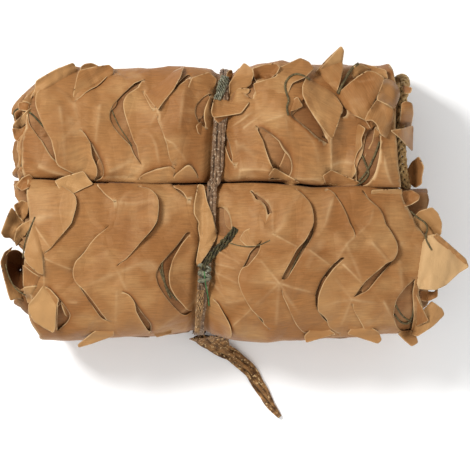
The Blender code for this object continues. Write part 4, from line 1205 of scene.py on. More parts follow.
# %% Fibres of the strap, the cords and the rope
def fibre(name, dark, light, flecks, fleck_share, fine):
    """Stringy fibre: streaks of two colours, with a few pale flecks. The colours are as seen."""
    gloss = {"Roughness": 0.75, "Specular IOR Level": 0.25, "Sheen Weight": 0.05}
    material, tree, shader = new_finish(name, gloss)
    nodes, links = tree.nodes, tree.links
    place = nodes.new("ShaderNodeTexCoord")
    streaks, spots = nodes.new("ShaderNodeTexNoise"), nodes.new("ShaderNodeTexNoise")
    put(streaks, {"Scale": fine, "Detail": 4.0})
    put(spots, {"Scale": fine * 2.2, "Detail": 2.0})
    for texture in (streaks, spots):
        links.new(place.outputs["Object"], texture.inputs["Vector"])
    ramp = nodes.new("ShaderNodeValToRGB")
    ramp.color_ramp.elements[0].position, ramp.color_ramp.elements[1].position = 0.36, 0.64
    ramp.color_ramp.elements[0].color = (*colour_of(*dark), 1.0)
    ramp.color_ramp.elements[1].color = (*colour_of(*light), 1.0)
    links.new(streaks.outputs["Fac"], ramp.inputs["Fac"])
    choose = nodes.new("ShaderNodeMapRange")
    put(choose, {"From Min": 1.0 - fleck_share, "From Max": 1.04 - fleck_share})
    links.new(spots.outputs["Fac"], choose.inputs["Value"])
    mix = nodes.new("ShaderNodeMix")
    mix.data_type = "RGBA"
    links.new(choose.outputs["Result"], mix.inputs[0])
    links.new(ramp.outputs["Color"], mix.inputs[6])
    mix.inputs[7].default_value = (*colour_of(*flecks), 1.0)
    links.new(mix.outputs[2], shader.inputs["Base Color"])
    links.new(bumped(tree, spots.outputs["Fac"], 0.5, 0.0006), shader.inputs["Normal"])
    return material


STRAP_BROWN = fibre("twisted_strap", (98, 72, 50), (146, 114, 84), (190, 166, 138), 0.40, 300.0)
TAIL_BROWN = fibre("strap_tail", (84, 54, 26), (168, 122, 72), (224, 188, 134), 0.40, 240.0)
CORD_OLIVE = fibre("net_cord", (70, 58, 32), (112, 96, 60), (150, 134, 92), 0.36, 500.0)
CORD_DARK = fibre("dark_green_cord", (40, 34, 18), (86, 76, 42), (116, 118, 72), 0.36, 420.0)
STRAW = fibre("straw_strands", (122, 88, 52), (174, 134, 88), (212, 182, 138), 0.36, 300.0)
CORD_GREEN = fibre("green_thread", (50, 92, 52), (84, 132, 74), (120, 160, 110), 0.34, 500.0)
ROPE_STRAW = fibre("braided_rope", (172, 132, 80), (206, 170, 112), (226, 200, 150), 0.36, 420.0)
KNOT_GREY = fibre("knot_cord", (78, 78, 60), (134, 130, 104), (188, 186, 170), 0.38, 420.0)

# %% The strap round both rolls
STRAP_WIDTH, STRAP_GAP, CREASE_SAG = 0.0095, 0.0006, 0.0045
STRANDS = 7


def strap_path(count):
    """The strap's mid line round the straight bundle. It bridges the crease."""
    outer = Section(-(STRAP_GAP + 0.0010))
    leave = outer.arc[round((math.radians(60) + DIP) / outer.STEP)]
    land = outer.arc[outer.near_count + round((math.radians(120) + math.pi / 2) / outer.STEP)]
    y, z = outer.at(np.linspace(leave, land, count))
    ring = np.stack([strap_centre(y), y, z], axis=1)
    gap = np.linspace(ring[-1], ring[0], count // 8)[1:-1]
    gap[:, 2] -= CREASE_SAG * np.sin(np.linspace(0, math.pi, count // 8)[1:-1])
    return settle(np.concatenate([ring, gap]))


def twisted_band(path, up, closed, widths, thick, strands, turns, strand_width, astray=1.0):
    """Strands that lie side by side across a band and change places as it twists."""
    wide, out = frames_along(path, up, closed)
    along = np.linspace(0, 1, len(path), endpoint=not closed)
    parts = []
    for strand in range(strands):
        phase = 2 * math.pi * (strand / strands + turns * along)
        stray = 0.10 * np.sin(9.0 * phase + 2.1 * strand) + 0.07 * np.sin(23.0 * phase + strand)
        across = 0.5 * widths * (np.cos(phase) * 0.74 + astray * stray)
        away = 0.45 * thick * np.sin(phase)
        line = path + wide * across[:, None] + out * away[:, None]
        flat_way, up_way = leaned(wide, out, 0.55 * np.sin(phase + 0.7))
        each = strand_width * np.minimum(1, widths / widths.mean())
        parts.append(sweep(line, flat_way, up_way, each, np.full(len(path), 0.42 * thick), closed, 6))
    return parts


path = strap_path(480)
away = path - np.array([TIE_X, 0.003, 0.050])
widths = STRAP_WIDTH * (0.86 + 0.14 * np.sin(5 * np.linspace(0, 2 * math.pi, len(path))))
strap_strands = twisted_band(path, away, True, widths, 0.0019, STRANDS, 2, 0.0034)
strap = joined("strap_round", strap_strands, STRAP_BROWN)
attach(strap, "root")
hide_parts("tie_strap")
print("strap:", len(strap.data.polygons), "faces")

# %% [markdown]
# ## The loose tail
# Past the near side the strap's end hangs down and lies on the surface. It is a limp band that follows a
# route of chosen points, with torn strips of the same cloth beside it.

# %% The loose tail
TAIL_ROUTE = (
    (-28, -110.4, 44), (-27, -111.0, 28), (-22, -114.5, 14), (-12, -120.5, 6.0), (0, -127.5, 3.2),
    (12, -138.5, 2.2), (20.5, -152, 1.8), (28, -165, 1.8), (36.5, -176.5, 1.6),
)  # fmt: skip
TAIL_WIDTHS = (0.0110, 0.0120, 0.0130, 0.0120, 0.0110, 0.0100, 0.0090, 0.0070, 0.0030)


def curve_through(rows, count):
    """Points of a smooth curve through the rows of a route."""
    rows = np.array(rows, float)
    padded = np.concatenate([[2 * rows[0] - rows[1]], rows, [2 * rows[-1] - rows[-2]]])
    found = []
    for share in np.linspace(0, len(rows) - 1 - 1e-9, count):
        k, t = int(share), share - int(share)
        a, b, c, d = padded[k : k + 4]
        bend = (2 * a - 5 * b + 4 * c - d) * t**2 + (3 * b - a - 3 * c + d) * t**3
        found.append(0.5 * (2 * b + (c - a) * t + bend))
    return np.array(found)


TAIL_POINTS = 120
SURFACE = 0.0003  # the lowest that a loose strand lies
tail_path = curve_through(TAIL_ROUTE, TAIL_POINTS) * MM
tail_widths = curve_through([(width, 0, 0) for width in TAIL_WIDTHS], TAIL_POINTS)[:, 0]
tail_share = np.linspace(0, 1, TAIL_POINTS)
tail_up = np.array([0.1, -0.75, 0.66]) + tail_share[:, None] * np.array([0, 0.75, 1.5])
# Torn strips beside it: how far across each starts, where along the tail it ends, its width and its rise,
# in millimetres.
Strip = namedtuple("Strip", "across last width rise")
STRIPS = (
    Strip(-7, 0.62, 5.0, 0.6), Strip(15, 0.50, 6.0, 1.0), Strip(9, 0.47, 5.0, 2.7),
    Strip(-2, 0.42, 5.0, 3.0), Strip(21, 0.47, 5.0, 0.3), Strip(27, 0.40, 4.0, 0.0),
    Strip(5, 0.80, 3.0, 3.4),
)  # fmt: skip


def tail_strips():
    """Torn strips of the strap that lie beside the tail, each cut short."""
    parts = []
    for number, strip in enumerate(STRIPS):
        count = int(strip.last * TAIL_POINTS)
        share = tail_share[:count]
        spread = strip.across * (1 - smooth(share / 0.55)) + 0.3 * np.sin(9 * share + 2 * number)
        line = tail_path[:count] + np.outer(spread * MM, (1.0, 0.12, 0.0))
        line[:, 2] += strip.rise * MM * (1 - smooth(share)) + 0.0008
        wide, out = frames_along(line, tail_up[:count], False)
        flat_way, up_way = leaned(wide, out, 0.4 * np.sin(6 * share + 1.7 * number))
        torn = 1 - 0.7 * smooth((share / strip.last - 0.8) / 0.2)
        width = strip.width * MM * (0.85 + 0.15 * np.sin(7 * share + number)) * torn
        parts.append(sweep(line, flat_way, up_way, width, np.full(count, 0.0010), False, 8))
    return parts


tail_strands = twisted_band(tail_path, tail_up, False, tail_widths, 0.0030, 5, 1.1, 0.0046, 0.0)
torn_strips = tail_strips()
for strand_points, _ in tail_strands + torn_strips:
    strand_points[:, 2] = np.maximum(strand_points[:, 2], SURFACE)
tail = joined("strap_tail_end", tail_strands, TAIL_BROWN)
strips = joined("strap_tail_strips", torn_strips, TAIL_BROWN)
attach(strips, "root")
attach(tail, "root")
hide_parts("tie_tail")

# %% [markdown]
# ## The knot
# A grey-green cord is pulled tight round the strap. Its turns lean one way and the other, so each is a
# closed loop with its own small tilt.

# %% The knot
KNOT_Y, KNOT_WIDTH, KNOT_HEIGHT = -0.060, 0.0110, 0.0080
KNOT_TURNS, KNOT_PITCH, KNOT_CORD = 4, 0.0034, 0.0032


def knot_piece():
    """Turns of cord pulled tight round the strap."""
    outer = Section(-(STRAP_GAP + 0.0020 + 0.0004 + KNOT_HEIGHT / 2))
    y, z = outer.at(outer.arc_at(KNOT_Y))
    middle = settle([[strap_centre(KNOT_Y), y, z + 0.0006]])[0]
    parts = []
    t = np.linspace(0, 2 * math.pi, 48, endpoint=False)
    for turn in range(KNOT_TURNS):
        shift = (turn - (KNOT_TURNS - 1) / 2) * KNOT_PITCH
        tilt = 0.35 * (-1) ** turn
        across = 0.38 * KNOT_WIDTH * np.cos(t)
        along = shift + 0.35 * KNOT_WIDTH * tilt * np.cos(t + 0.5)
        line = middle + np.stack([across, along, 0.34 * KNOT_HEIGHT * np.sin(t)], axis=1)
        wide, out = frames_along(line, line - middle + np.array([0, 0, 1e-5]), True)
        size = np.full(len(line), KNOT_CORD)
        parts.append(sweep(line, wide, out, size, size * 0.8, True, 8, 1.0))
    return joined("knot_turns", parts, KNOT_GREY)


knot = knot_piece()
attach(knot, "root")
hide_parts("tie_knot")
print("knot:", len(knot.data.polygons), "faces")

# %% [markdown]
# ## Loose leaves
# A cut leaf that has turned over, folded or sprung out is the same cloth, held at one side only. Each one
# is laid over whatever lies below it, like a hand laid on a heap: a height map of the bundle is read first,
# and the leaf takes the lowest slope over it that its stiffness allows. Its held side dips under the cloth.

# %% Height map of the bundle
MAP_STEP = 0.002
MAP_X, MAP_Y = np.arange(-0.200, 0.2001, MAP_STEP), np.arange(-0.190, 0.1401, MAP_STEP)
NOTHING = -1.0


def look_down(heights, points, faces, low=(-9, -9), high=(9, 9)):
    """Raises a height map to the top of a mesh, inside a window."""
    tree = BVHTree.FromPolygons([Vector(point) for point in points], as_corners(faces))
    for i in np.nonzero((MAP_X > low[0]) & (MAP_X < high[0]))[0]:
        for j in np.nonzero((MAP_Y > low[1]) & (MAP_Y < high[1]))[0]:
            hit = tree.ray_cast(Vector((MAP_X[i], MAP_Y[j], 1.0)), Vector((0, 0, -1)))[0]
            if hit is not None and hit.z > heights[i, j]:
                heights[i, j] = hit.z


def mesh_of(piece):
    """Points and faces of a piece."""
    mesh = piece.data
    return [vertex.co for vertex in mesh.vertices], [polygon.vertices for polygon in mesh.polygons]


def laid_over(heights, places, slope, reach=0.044):
    """Height at each place of a cloth laid over the map, which falls off no steeper than a slope."""
    low, high = places.min(axis=0) - MAP_STEP, places.max(axis=0) + MAP_STEP
    i0, i1 = np.searchsorted(MAP_X, low[0]) - 1, np.searchsorted(MAP_X, high[0]) + 1
    j0, j1 = np.searchsorted(MAP_Y, low[1]) - 1, np.searchsorted(MAP_Y, high[1]) + 1
    i0, j0, i1, j1 = max(i0, 0), max(j0, 0), min(i1, len(MAP_X)), min(j1, len(MAP_Y))
    count = int(reach / MAP_STEP)
    padded = np.pad(heights, count, constant_values=NOTHING)
    found = np.full((i1 - i0, j1 - j0), NOTHING)
    for di in range(-count, count + 1):
        for dj in range(-count, count + 1):
            distance = math.hypot(di, dj) * MAP_STEP
            if distance <= reach:
                window = padded[i0 + count + di : i1 + count + di, j0 + count + dj : j1 + count + dj]
                found = np.maximum(found, window - slope * distance)
    u = np.clip((places[:, 0] - MAP_X[i0]) / MAP_STEP, 0, i1 - i0 - 1.001)
    v = np.clip((places[:, 1] - MAP_Y[j0]) / MAP_STEP, 0, j1 - j0 - 1.001)
    i, j = u.astype(int), v.astype(int)
    return blended(found, i, j, u - i, v - j)


top_map = np.full((len(MAP_X), len(MAP_Y)), NOTHING)
below_map = top_map.copy()
for piece in (second_cloth, wound):
    look_down(below_map, *mesh_of(piece))
top_map = np.maximum(top_map, below_map)
look_down(top_map, outer_sheet.points, outer_sheet.faces)
for piece in (strap, knot):
    look_down(top_map, *mesh_of(piece))
print("height map:", top_map.shape)

# %% One loose leaf
# root is its held side, lift how far its free side stands up, arch how far it bulges along its axis, in
# millimetres, slope how steeply it can fall and tone how much paler or darker it is.
Leaf = namedtuple("Leaf", "outline root lift arch axis slope tone", defaults=(0.0, None, 0.5, 0.0))
LEAF_CLEAR = 0.0007
LEAF_FINE = 0.0022
PRESSED = 2.5  # the held side follows what is below it down to this slope


def loose_leaf(leaf, seed):
    """One leaf laid over the height map, which it then adds itself to."""
    outline = on_grid(leaf.outline)
    seam = 0.5 * (outline[-1] + outline[0])
    ring = rounded([seam, *outline, seam], 0.0014, 0.0012)[:-1]
    inner = sides_of(ring)
    if inside([ring[0] + inner[0] * 0.0003], ring)[0]:
        inner = -inner
    places, faces = fill_pattern([ring], ring - inner * BESIDE, LEAF_FINE, BESIDE)
    root = on_grid(leaf.root)
    run = unit(root[1] - root[0])
    out = np.array([-run[1], run[0]])
    if np.dot(ring.mean(axis=0) - root[0], out) < 0:
        out = -out
    from_root = (places - root[0]) @ out
    share = np.clip(from_root / from_root.max(), 0, 1)
    loose = smooth(from_root / 0.014)
    pressed, lying = laid_over(top_map, places, PRESSED), laid_over(top_map, places, leaf.slope)
    height = pressed * (1 - loose) + lying * loose + LEAF_CLEAR
    held = 1 - smooth(from_root / 0.0045)
    free = np.sqrt(np.maximum(1 - held, 0))
    height += leaf.lift * MM * share**1.4 - 0.0034 * held
    if leaf.arch:
        axis = on_grid(leaf.axis)
        along = unit(axis[1] - axis[0])
        off = np.abs((places - axis[0]) @ np.array([-along[1], along[0]]))
        height += leaf.arch * MM * (np.sqrt(np.clip(1 - (off / off.max()) ** 2, 0, 1)) - 0.2)
    edge, _, _ = to_line(places, np.concatenate([ring, ring[:1]]))
    wave = 0.0015 * facets(places, 0.013, seed, 0.37 * seed) + 0.0004 * swell(places, 0.006, seed + 1)
    height += free * (wave + 0.0008 * np.exp(-edge / 0.0025) * (1 + swell(places, 0.010, seed + 2)))
    points = np.stack([places[:, 0], places[:, 1], np.maximum(height, 0.0008)], axis=1)
    look_down(top_map, points, faces, places.min(axis=0), places.max(axis=0))
    rim = np.clip(1 - edge / RIM_WIDTH, 0, 1) * smooth(from_root / 0.003)
    turned = places @ np.array([[run[0], out[0]], [run[1], out[1]]])
    strain, tone = np.zeros(len(places)), np.full(len(places), leaf.tone)
    return Cloth(points, faces, turned + 0.37 * seed, rim, strain, tone)


# %% Loose leaves of the near roll
NEAR_LEAVES = (
    Leaf(((12, 207), (6, 220), (1, 233), (4, 238), (10, 238), (14, 243), (16, 233), (19, 226), (23, 222),
          (17, 213)), ((23, 223), (14, 243)), 1.0, tone=0.3),
    Leaf(((12, 246), (4, 252), (1, 262), (4, 276), (8, 292), (11, 301), (18, 298), (26, 301), (23, 292),
          (13, 284), (7, 270), (7, 256)), ((26, 300), (13, 246)), 1.0, slope=0.35, tone=0.1),
    Leaf(((22, 224), (33, 219), (34, 224), (28, 232), (22, 240), (16, 247), (14, 240), (17, 229)),
         ((34, 220), (26, 236)), 1.0, 1.5, ((30, 221), (16, 244)), slope=0.8, tone=0.6),
    Leaf(((34, 224), (39, 224), (47, 244), (44, 256), (45, 275), (39, 273), (28, 263), (25, 255),
          (29, 240)), ((38, 226), (46, 250)), 0.5, 2.5, ((34, 230), (36, 268)), slope=0.9, tone=0.5),
    Leaf(((24, 264), (34, 272), (44, 278), (41, 285), (24, 287)),
         ((44, 278), (41, 286)), 1.0, slope=0.8, tone=0.1),
    Leaf(((24, 287), (33, 286), (43, 285), (34, 299), (28, 304), (26, 297)),
         ((43, 285), (34, 299)), 0.6, slope=0.8, tone=0.6),
    Leaf(((45, 284), (37, 295), (29, 304), (29, 312), (34, 321), (43, 327), (54, 333), (56, 327),
          (57, 312), (58, 301), (53, 292)),
         ((47, 285), (58, 300)), 0.8, 1.2, ((44, 290), (40, 322)), tone=0.9),
    Leaf(((61, 301), (67, 305), (71, 311), (69, 317), (66, 316), (63, 308)),
         ((68, 305), (70, 316)), 0.3, slope=0.9, tone=0.3),
    Leaf(((14, 205), (22, 200), (29, 203), (28, 214), (23, 222), (17, 214)),
         ((28, 202), (26, 218)), 0.8, 1.5, ((18, 206), (25, 218)), slope=0.7, tone=0.4),
    Leaf(((55, 181), (64, 177), (84, 171), (89, 179), (94, 184), (83, 189), (70, 196), (61, 191)),
         ((60, 193), (72, 196)), 0.8, slope=0.6, tone=0.7),
    Leaf(((98, 329), (92, 333), (77, 345), (78, 348), (92, 344), (114, 336), (114, 329)),
         ((100, 328), (114, 328)), 0.0, slope=0.8, tone=0.3),
    Leaf(((152, 332), (156, 338), (172, 334), (170, 329)),
         ((152, 331), (170, 329)), 0.0, slope=0.8, tone=0.1),
    Leaf(((304, 336), (306, 343), (316, 340), (336, 334), (326, 327), (312, 328)),
         ((308, 328), (330, 327)), 0.0, slope=0.7, tone=0.3),
    Leaf(((347, 334), (363, 339), (378, 344), (382, 340), (379, 332), (366, 324), (352, 327)),
         ((350, 326), (372, 325)), 0.0, slope=0.6, tone=0.4),
    Leaf(((398, 334), (404, 340), (412, 347), (419, 343), (417, 335), (408, 328)),
         ((400, 329), (412, 328)), 0.0, slope=0.6, tone=0.5),
    Leaf(((414, 318), (424, 309), (432, 301), (443, 309), (445, 315), (434, 326), (418, 337), (408, 334)),
         ((410, 334), (416, 314)), 1.0, tone=0.4),
    Leaf(((420, 290), (434, 292), (438, 287), (438, 297), (427, 302), (419, 300)),
         ((419, 290), (419, 301)), 1.0, 2.0, ((420, 295), (437, 294)), slope=0.6, tone=-0.6),
    Leaf(((412, 219), (419, 211), (432, 207), (438, 213), (442, 223), (441, 234), (437, 240), (427, 236),
          (419, 229)), ((414, 224), (424, 238)), 1.0, slope=0.3, tone=0.5),
    Leaf(((426, 236), (434, 234), (449, 246), (465, 259), (469, 267), (459, 273), (446, 285), (435, 290),
          (418, 289), (413, 270), (418, 250)), ((412, 288), (420, 240)), 1.0, slope=0.22, tone=1.5),
    Leaf(((432, 236), (436, 233), (466, 259), (469, 267), (462, 264), (446, 251)),
         ((446, 251), (462, 264)), 1.5, 1.5, ((436, 237), (464, 261)), slope=0.22, tone=0.3),
    Leaf(((414, 290), (419, 301), (429, 321), (415, 328), (412, 310)),
         ((413, 327), (412, 292)), 2.5, slope=0.8, tone=-0.3),
    Leaf(((371, 190), (402, 189), (402, 197), (387, 196), (371, 196)),
         ((371, 197), (402, 198)), 0.5, 1.2, ((372, 193), (401, 193)), slope=0.8, tone=0.6),
    Leaf(((401, 191), (412, 190), (420, 195), (419, 200), (411, 205), (404, 207), (400, 200)),
         ((400, 191), (401, 204)), 0.5, slope=0.6, tone=-0.7),
    Leaf(((239, 239), (244, 231), (250, 228), (257, 233), (263, 240), (257, 246), (246, 246)),
         ((262, 244), (255, 230)), 1.6, slope=0.8, tone=0.2),
    Leaf(((198, 184), (204, 185), (207, 201), (213, 216), (217, 237), (210, 250), (203, 260), (198, 268),
          (196, 262), (200, 239), (198, 228), (199, 223), (194, 214), (194, 205)),
         ((192, 268), (204, 266)), 1.0, 0.8, ((202, 190), (206, 250)), slope=0.9, tone=0.5),
)  # fmt: skip

# %% Loose leaves of the far roll
FAR_LEAVES = (
    Leaf(((36, 81), (54, 70), (73, 62), (78, 71), (62, 81), (46, 89), (36, 100), (33, 98)),
         ((38, 96), (72, 76)), 1.0, 1.2, ((40, 86), (74, 67)), slope=0.4, tone=0.5),
    Leaf(((79, 72), (80, 66), (84, 63), (91, 62), (98, 65), (98, 72)), ((79, 74), (98, 74)), 0.5, tone=0.2),
    Leaf(((77, 76), (79, 70), (92, 67), (109, 64), (114, 69), (112, 76), (100, 85), (86, 93), (75, 102),
          (73, 95)), ((76, 100), (102, 84)), 1.2, slope=0.4, tone=-0.1),
    Leaf(((143, 90), (162, 76), (184, 66), (181, 77), (174, 90), (165, 101), (158, 111), (150, 101)),
         ((143, 92), (158, 80)), 2.2, 0.6, ((150, 96), (182, 68)), slope=0.35, tone=-0.5),
    Leaf(((188, 88), (192, 78), (200, 75), (209, 72), (217, 79), (214, 90), (205, 94)),
         ((190, 92), (206, 95)), 0.5),
    Leaf(((226, 76), (227, 72), (230, 69), (233, 71), (232, 78), (228, 82)),
         ((226, 82), (233, 82)), 0.5, 1.0, ((230, 70), (229, 80)), slope=0.4),
    Leaf(((229, 84), (236, 73), (244, 63), (252, 69), (254, 74), (251, 85), (240, 93), (229, 97)),
         ((228, 97), (244, 93)), 1.0, slope=0.35, tone=0.2),
    Leaf(((256, 96), (253, 84), (266, 80), (276, 77), (279, 68), (300, 58), (309, 62), (314, 69),
          (305, 78), (292, 84), (287, 96), (270, 100)), ((256, 98), (286, 100)), 0.8, slope=0.4, tone=0.1),
    Leaf(((252, 69), (264, 65), (276, 64), (280, 68), (277, 74), (271, 79), (262, 81), (254, 79)),
         ((253, 80), (270, 81)), 2.5, 2.0, ((255, 73), (276, 70)), tone=-0.5),
    Leaf(((233, 97), (238, 88), (250, 89), (249, 93), (243, 97)),
         ((233, 98), (244, 98)), 0.6, slope=0.8, tone=0.5),
    # A dark strip just under the next leaf's lower edge: its low tone is a painted shadow.
    Leaf(((213, 118), (228, 115), (241, 112), (234, 119), (221, 126)),
         ((222, 125), (236, 117)), 0.8, slope=0.8, tone=-0.7),
    Leaf(((214, 98), (222, 95), (237, 97), (243, 95), (250, 102), (245, 109), (241, 114), (228, 116),
          (213, 118), (211, 112)),
         ((222, 95), (248, 100)), 2.4, 0.8, ((216, 108), (246, 104)), slope=0.8, tone=0.1),
    Leaf(((315, 72), (328, 58), (341, 46), (344, 51), (342, 58), (343, 69), (340, 82), (336, 95),
          (326, 84)), ((316, 74), (334, 94)), 0.8, 0.6, ((326, 80), (342, 48)), slope=0.25, tone=0.2),
    Leaf(((306, 78), (316, 73), (326, 84), (336, 96), (343, 108), (338, 123), (332, 140), (329, 138),
          (322, 129), (309, 110), (302, 96), (302, 86)),
         ((310, 76), (330, 88)), 3.4, 1.0, ((312, 84), (334, 120)), slope=0.8, tone=0.2),
    Leaf(((352, 66), (360, 63), (373, 66), (386, 70), (388, 79), (380, 84), (368, 77), (358, 82)),
         ((358, 83), (380, 84)), 0.5, 2.0, ((356, 72), (384, 76)), tone=0.2),
    Leaf(((316, 73), (330, 58), (341, 46), (344, 51), (342, 64), (332, 66), (323, 70)),
         ((318, 72), (342, 65)), 0.3, 0.6, ((322, 69), (342, 48)), slope=0.25, tone=0.9),
    Leaf(((352, 68), (356, 65), (363, 65), (371, 70), (366, 75), (358, 80), (354, 79), (351, 74)),
         ((356, 80), (368, 74)), 1.5, 3.0, ((355, 66), (362, 78)), tone=0.5),
    # This folded leaf's slightly low tone is painted shade, with its arch.
    Leaf(((337, 94), (346, 86), (357, 77), (367, 71), (374, 72), (384, 78), (381, 90), (374, 101),
          (369, 113), (364, 121), (353, 116), (345, 109)),
         ((338, 96), (345, 108)), 1.0, 8.0, ((368, 72), (352, 115)), slope=1.2, tone=-0.15),
    # The dark inside of a rolled leaf's mouth: its low tone is painted shade.
    Leaf(((364, 120), (369, 128), (371, 131), (375, 127), (375, 121), (369, 119)),
         ((375, 120), (375, 128)), 0.3, slope=0.9, tone=-1.0),
    Leaf(((376, 100), (385, 105), (393, 110), (392, 121), (391, 133), (386, 139), (379, 135), (376, 126),
          (371, 121), (363, 122), (367, 113)),
         ((386, 139), (391, 128)), 0.5, 7.0, ((385, 104), (376, 128)), slope=1.4, tone=0.1),
    Leaf(((383, 80), (388, 79), (394, 82), (399, 88), (400, 95), (397, 103), (393, 110), (384, 105),
          (375, 101), (379, 90)),
         ((390, 80), (398, 86)), 1.0, 7.0, ((391, 81), (384, 106)), slope=1.4, tone=0.3),
    Leaf(((374, 127), (379, 133), (379, 141), (374, 152), (370, 164), (366, 168), (363, 160), (367, 150),
          (372, 141), (373, 134)), ((379, 133), (372, 160)), -1.2, slope=0.9, tone=0.2),
    Leaf(((286, 113), (288, 104), (297, 97), (303, 107), (295, 111)),
         ((286, 113), (288, 104)), 0.3, slope=0.9, tone=-0.4),
    Leaf(((365, 129), (361, 139), (362, 146), (357, 153), (354, 163), (356, 172), (351, 180), (345, 170),
          (347, 150), (352, 134), (358, 124)), ((348, 176), (354, 128)), 1.4, slope=0.8, tone=0.15),
    Leaf(((268, 176), (276, 180), (292, 186), (300, 183), (288, 176), (274, 168)),
         ((276, 181), (296, 186)), 1.6, 0.8, ((270, 173), (296, 183)), slope=0.8, tone=0.4),
    Leaf(((322, 176), (331, 170), (345, 176), (359, 182), (362, 187), (344, 187), (326, 186)),
         ((326, 187), (360, 187)), 1.4, 0.8, ((326, 180), (358, 184)), slope=0.8, tone=-0.3),
    Leaf(((196, 126), (202, 121), (206, 128), (203, 136), (198, 134)),
         ((203, 136), (206, 124)), 1.0, slope=0.8, tone=-0.5),
    Leaf(((400, 104), (405, 102), (411, 104), (413, 115), (413, 127), (399, 127)),
         ((399, 127), (413, 127)), 1.0, 5.0, ((406, 103), (406, 126)), slope=0.6),
    Leaf(((389, 131), (402, 129), (414, 125), (415, 138), (414, 151), (406, 145), (397, 137)),
         ((415, 126), (415, 150)), 2.4, slope=0.7, tone=0.1),
    Leaf(((403, 84), (412, 88), (410, 94), (404, 94)), ((402, 84), (402, 95)), 1.0, slope=0.4, tone=-0.2),
    Leaf(((408, 170), (412, 162), (419, 156), (424, 167), (422, 177), (422, 184), (416, 188), (409, 182)),
         ((408, 166), (408, 184)), 1.0, slope=0.4, tone=-0.2),
    Leaf(((18, 140), (24, 132), (26, 146), (24, 160), (20, 168), (17, 167), (20, 158), (17, 150)),
         ((25, 134), (24, 162)), 0.5, tone=0.3),
    Leaf(((17, 172), (21, 166), (26, 172), (24, 184), (18, 190), (14, 186), (19, 180)),
         ((26, 172), (23, 188)), 0.5, tone=0.1),
    Leaf(((26, 97), (34, 88), (36, 98), (33, 106), (29, 103), (22, 102)),
         ((35, 90), (34, 106)), 1.0, 1.0, ((28, 98), (34, 100)), tone=0.4),
    Leaf(((18, 103), (27, 101), (33, 107), (32, 113), (24, 111), (19, 110)),
         ((33, 104), (32, 114)), 1.0, tone=-0.7),
    Leaf(((14, 113), (20, 109), (26, 113), (22, 121), (16, 120)),
         ((25, 112), (21, 121)), 2.0, 2.5, ((17, 117), (23, 114)), slope=0.6),
    Leaf(((32, 107), (36, 112), (28, 121), (21, 129), (12, 128), (14, 123)),
         ((35, 109), (28, 121)), 1.8, 1.0, ((15, 126), (34, 110)), slope=0.6, tone=0.6),
    Leaf(((12, 128), (21, 129), (27, 124), (25, 137), (20, 143), (14, 139)),
         ((27, 124), (24, 139)), 0.8, slope=0.6, tone=-0.1),
    Leaf(((22, 178), (16, 186), (22, 191), (32, 187), (36, 180), (30, 174)),
         ((36, 178), (32, 190)), 0.5, slope=0.8, tone=-0.5),
)  # fmt: skip
print("loose leaves drawn:", len(NEAR_LEAVES), "near and", len(FAR_LEAVES), "far")

# %% [markdown]
# ## Hollow leaves
# A few leaves at the ends are rolled into a pocket that one looks down into. A pocket is a ring of cloth
# that narrows on its way down and darkens, because hardly any light gets to its foot.

# %% Leaves folded into a hollow
# top is the height of the mouth, depth how far the pocket goes down and toward how far its foot lies
# along X, in millimetres.
Pouch = namedtuple("Pouch", "mouth top depth toward")
POUCHES = (
    Pouch(((4, 259), (9, 250), (18, 249), (26, 258), (29, 273), (27, 291), (17, 291), (8, 282), (4, 270)),
          88, 26, 1),
    Pouch(((7, 219), (12, 213), (19, 217), (26, 226), (18, 234), (8, 229)), 88, 24, 1),
    Pouch(((256, 70), (268, 67), (278, 68), (276, 75), (268, 79), (258, 78)), 84, 14, 0),
)  # fmt: skip


def pouch_cloth(pouch, seed):
    """A leaf rolled into a narrowing pocket. Its mouth faces up and its foot is drawn in."""
    mouth = on_grid(pouch.mouth)
    ring = rounded([*mouth, mouth[0]], 0.004, 0.0018)[:-1]
    middle, levels = ring.mean(axis=0), np.linspace(0, 1, 9)
    points = []
    for level in levels:
        at = middle + (ring - middle) * (1 - 0.97 * level**2.2) + np.array([pouch.toward * MM * level, 0])
        wave = 0.0012 * swell(ring + level * 0.01, 0.009, seed)
        rise = pouch.top * MM - pouch.depth * MM * level
        rise = rise + 0.0030 * swell(ring, 0.012, seed + 1) * (1 - level)
        points.append(np.column_stack([at + (ring - middle) * wave[:, None] * 30, rise]))
    count = len(ring)
    walls = quads(len(levels), count, True)
    faces = np.array([face for a, b, c, d in walls for face in ((a, b, c), (a, c, d))])
    points = np.concatenate(points)
    depth = np.repeat(levels, count)
    flat = np.column_stack([np.tile(np.arange(count) * 0.0018, len(levels)), depth * pouch.depth * MM])
    rim = (depth == 0) * 1.0
    # The tone paints shade into the pocket, darker towards its foot.
    return Cloth(points, faces, flat, rim, np.zeros(len(points)), -np.minimum(1.5, 0.4 + 3 * depth))


# %% Join the leaves to the outer cloth
sheets = [outer_sheet]
for number, pouch in enumerate(POUCHES):
    sheets.append(pouch_cloth(pouch, 60 + 2 * number))
for number, leaf in enumerate(FAR_LEAVES + NEAR_LEAVES):
    sheets.append(loose_leaf(leaf, 100 + 3 * number))
outer_cloth = cloth_piece("outer_leaf_cloth", sheets, TAN)
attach(outer_cloth, "root")
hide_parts("leaf_cloth")
print("loose leaves:", len(sheets) - 1, "and", len(outer_cloth.data.polygons), "triangles in all")

# %% [markdown]
# ## Cords of the net
# Thin knotted cords carry the leaves. They show in the open slits and at the ends, where they leave one
# layer of cloth and go back under another, so each is a short length of round cord laid on what is below
# it. A row gives its route on the grid, its diameter in millimetres, its finish, and whether it lies
# below the outer cloth.

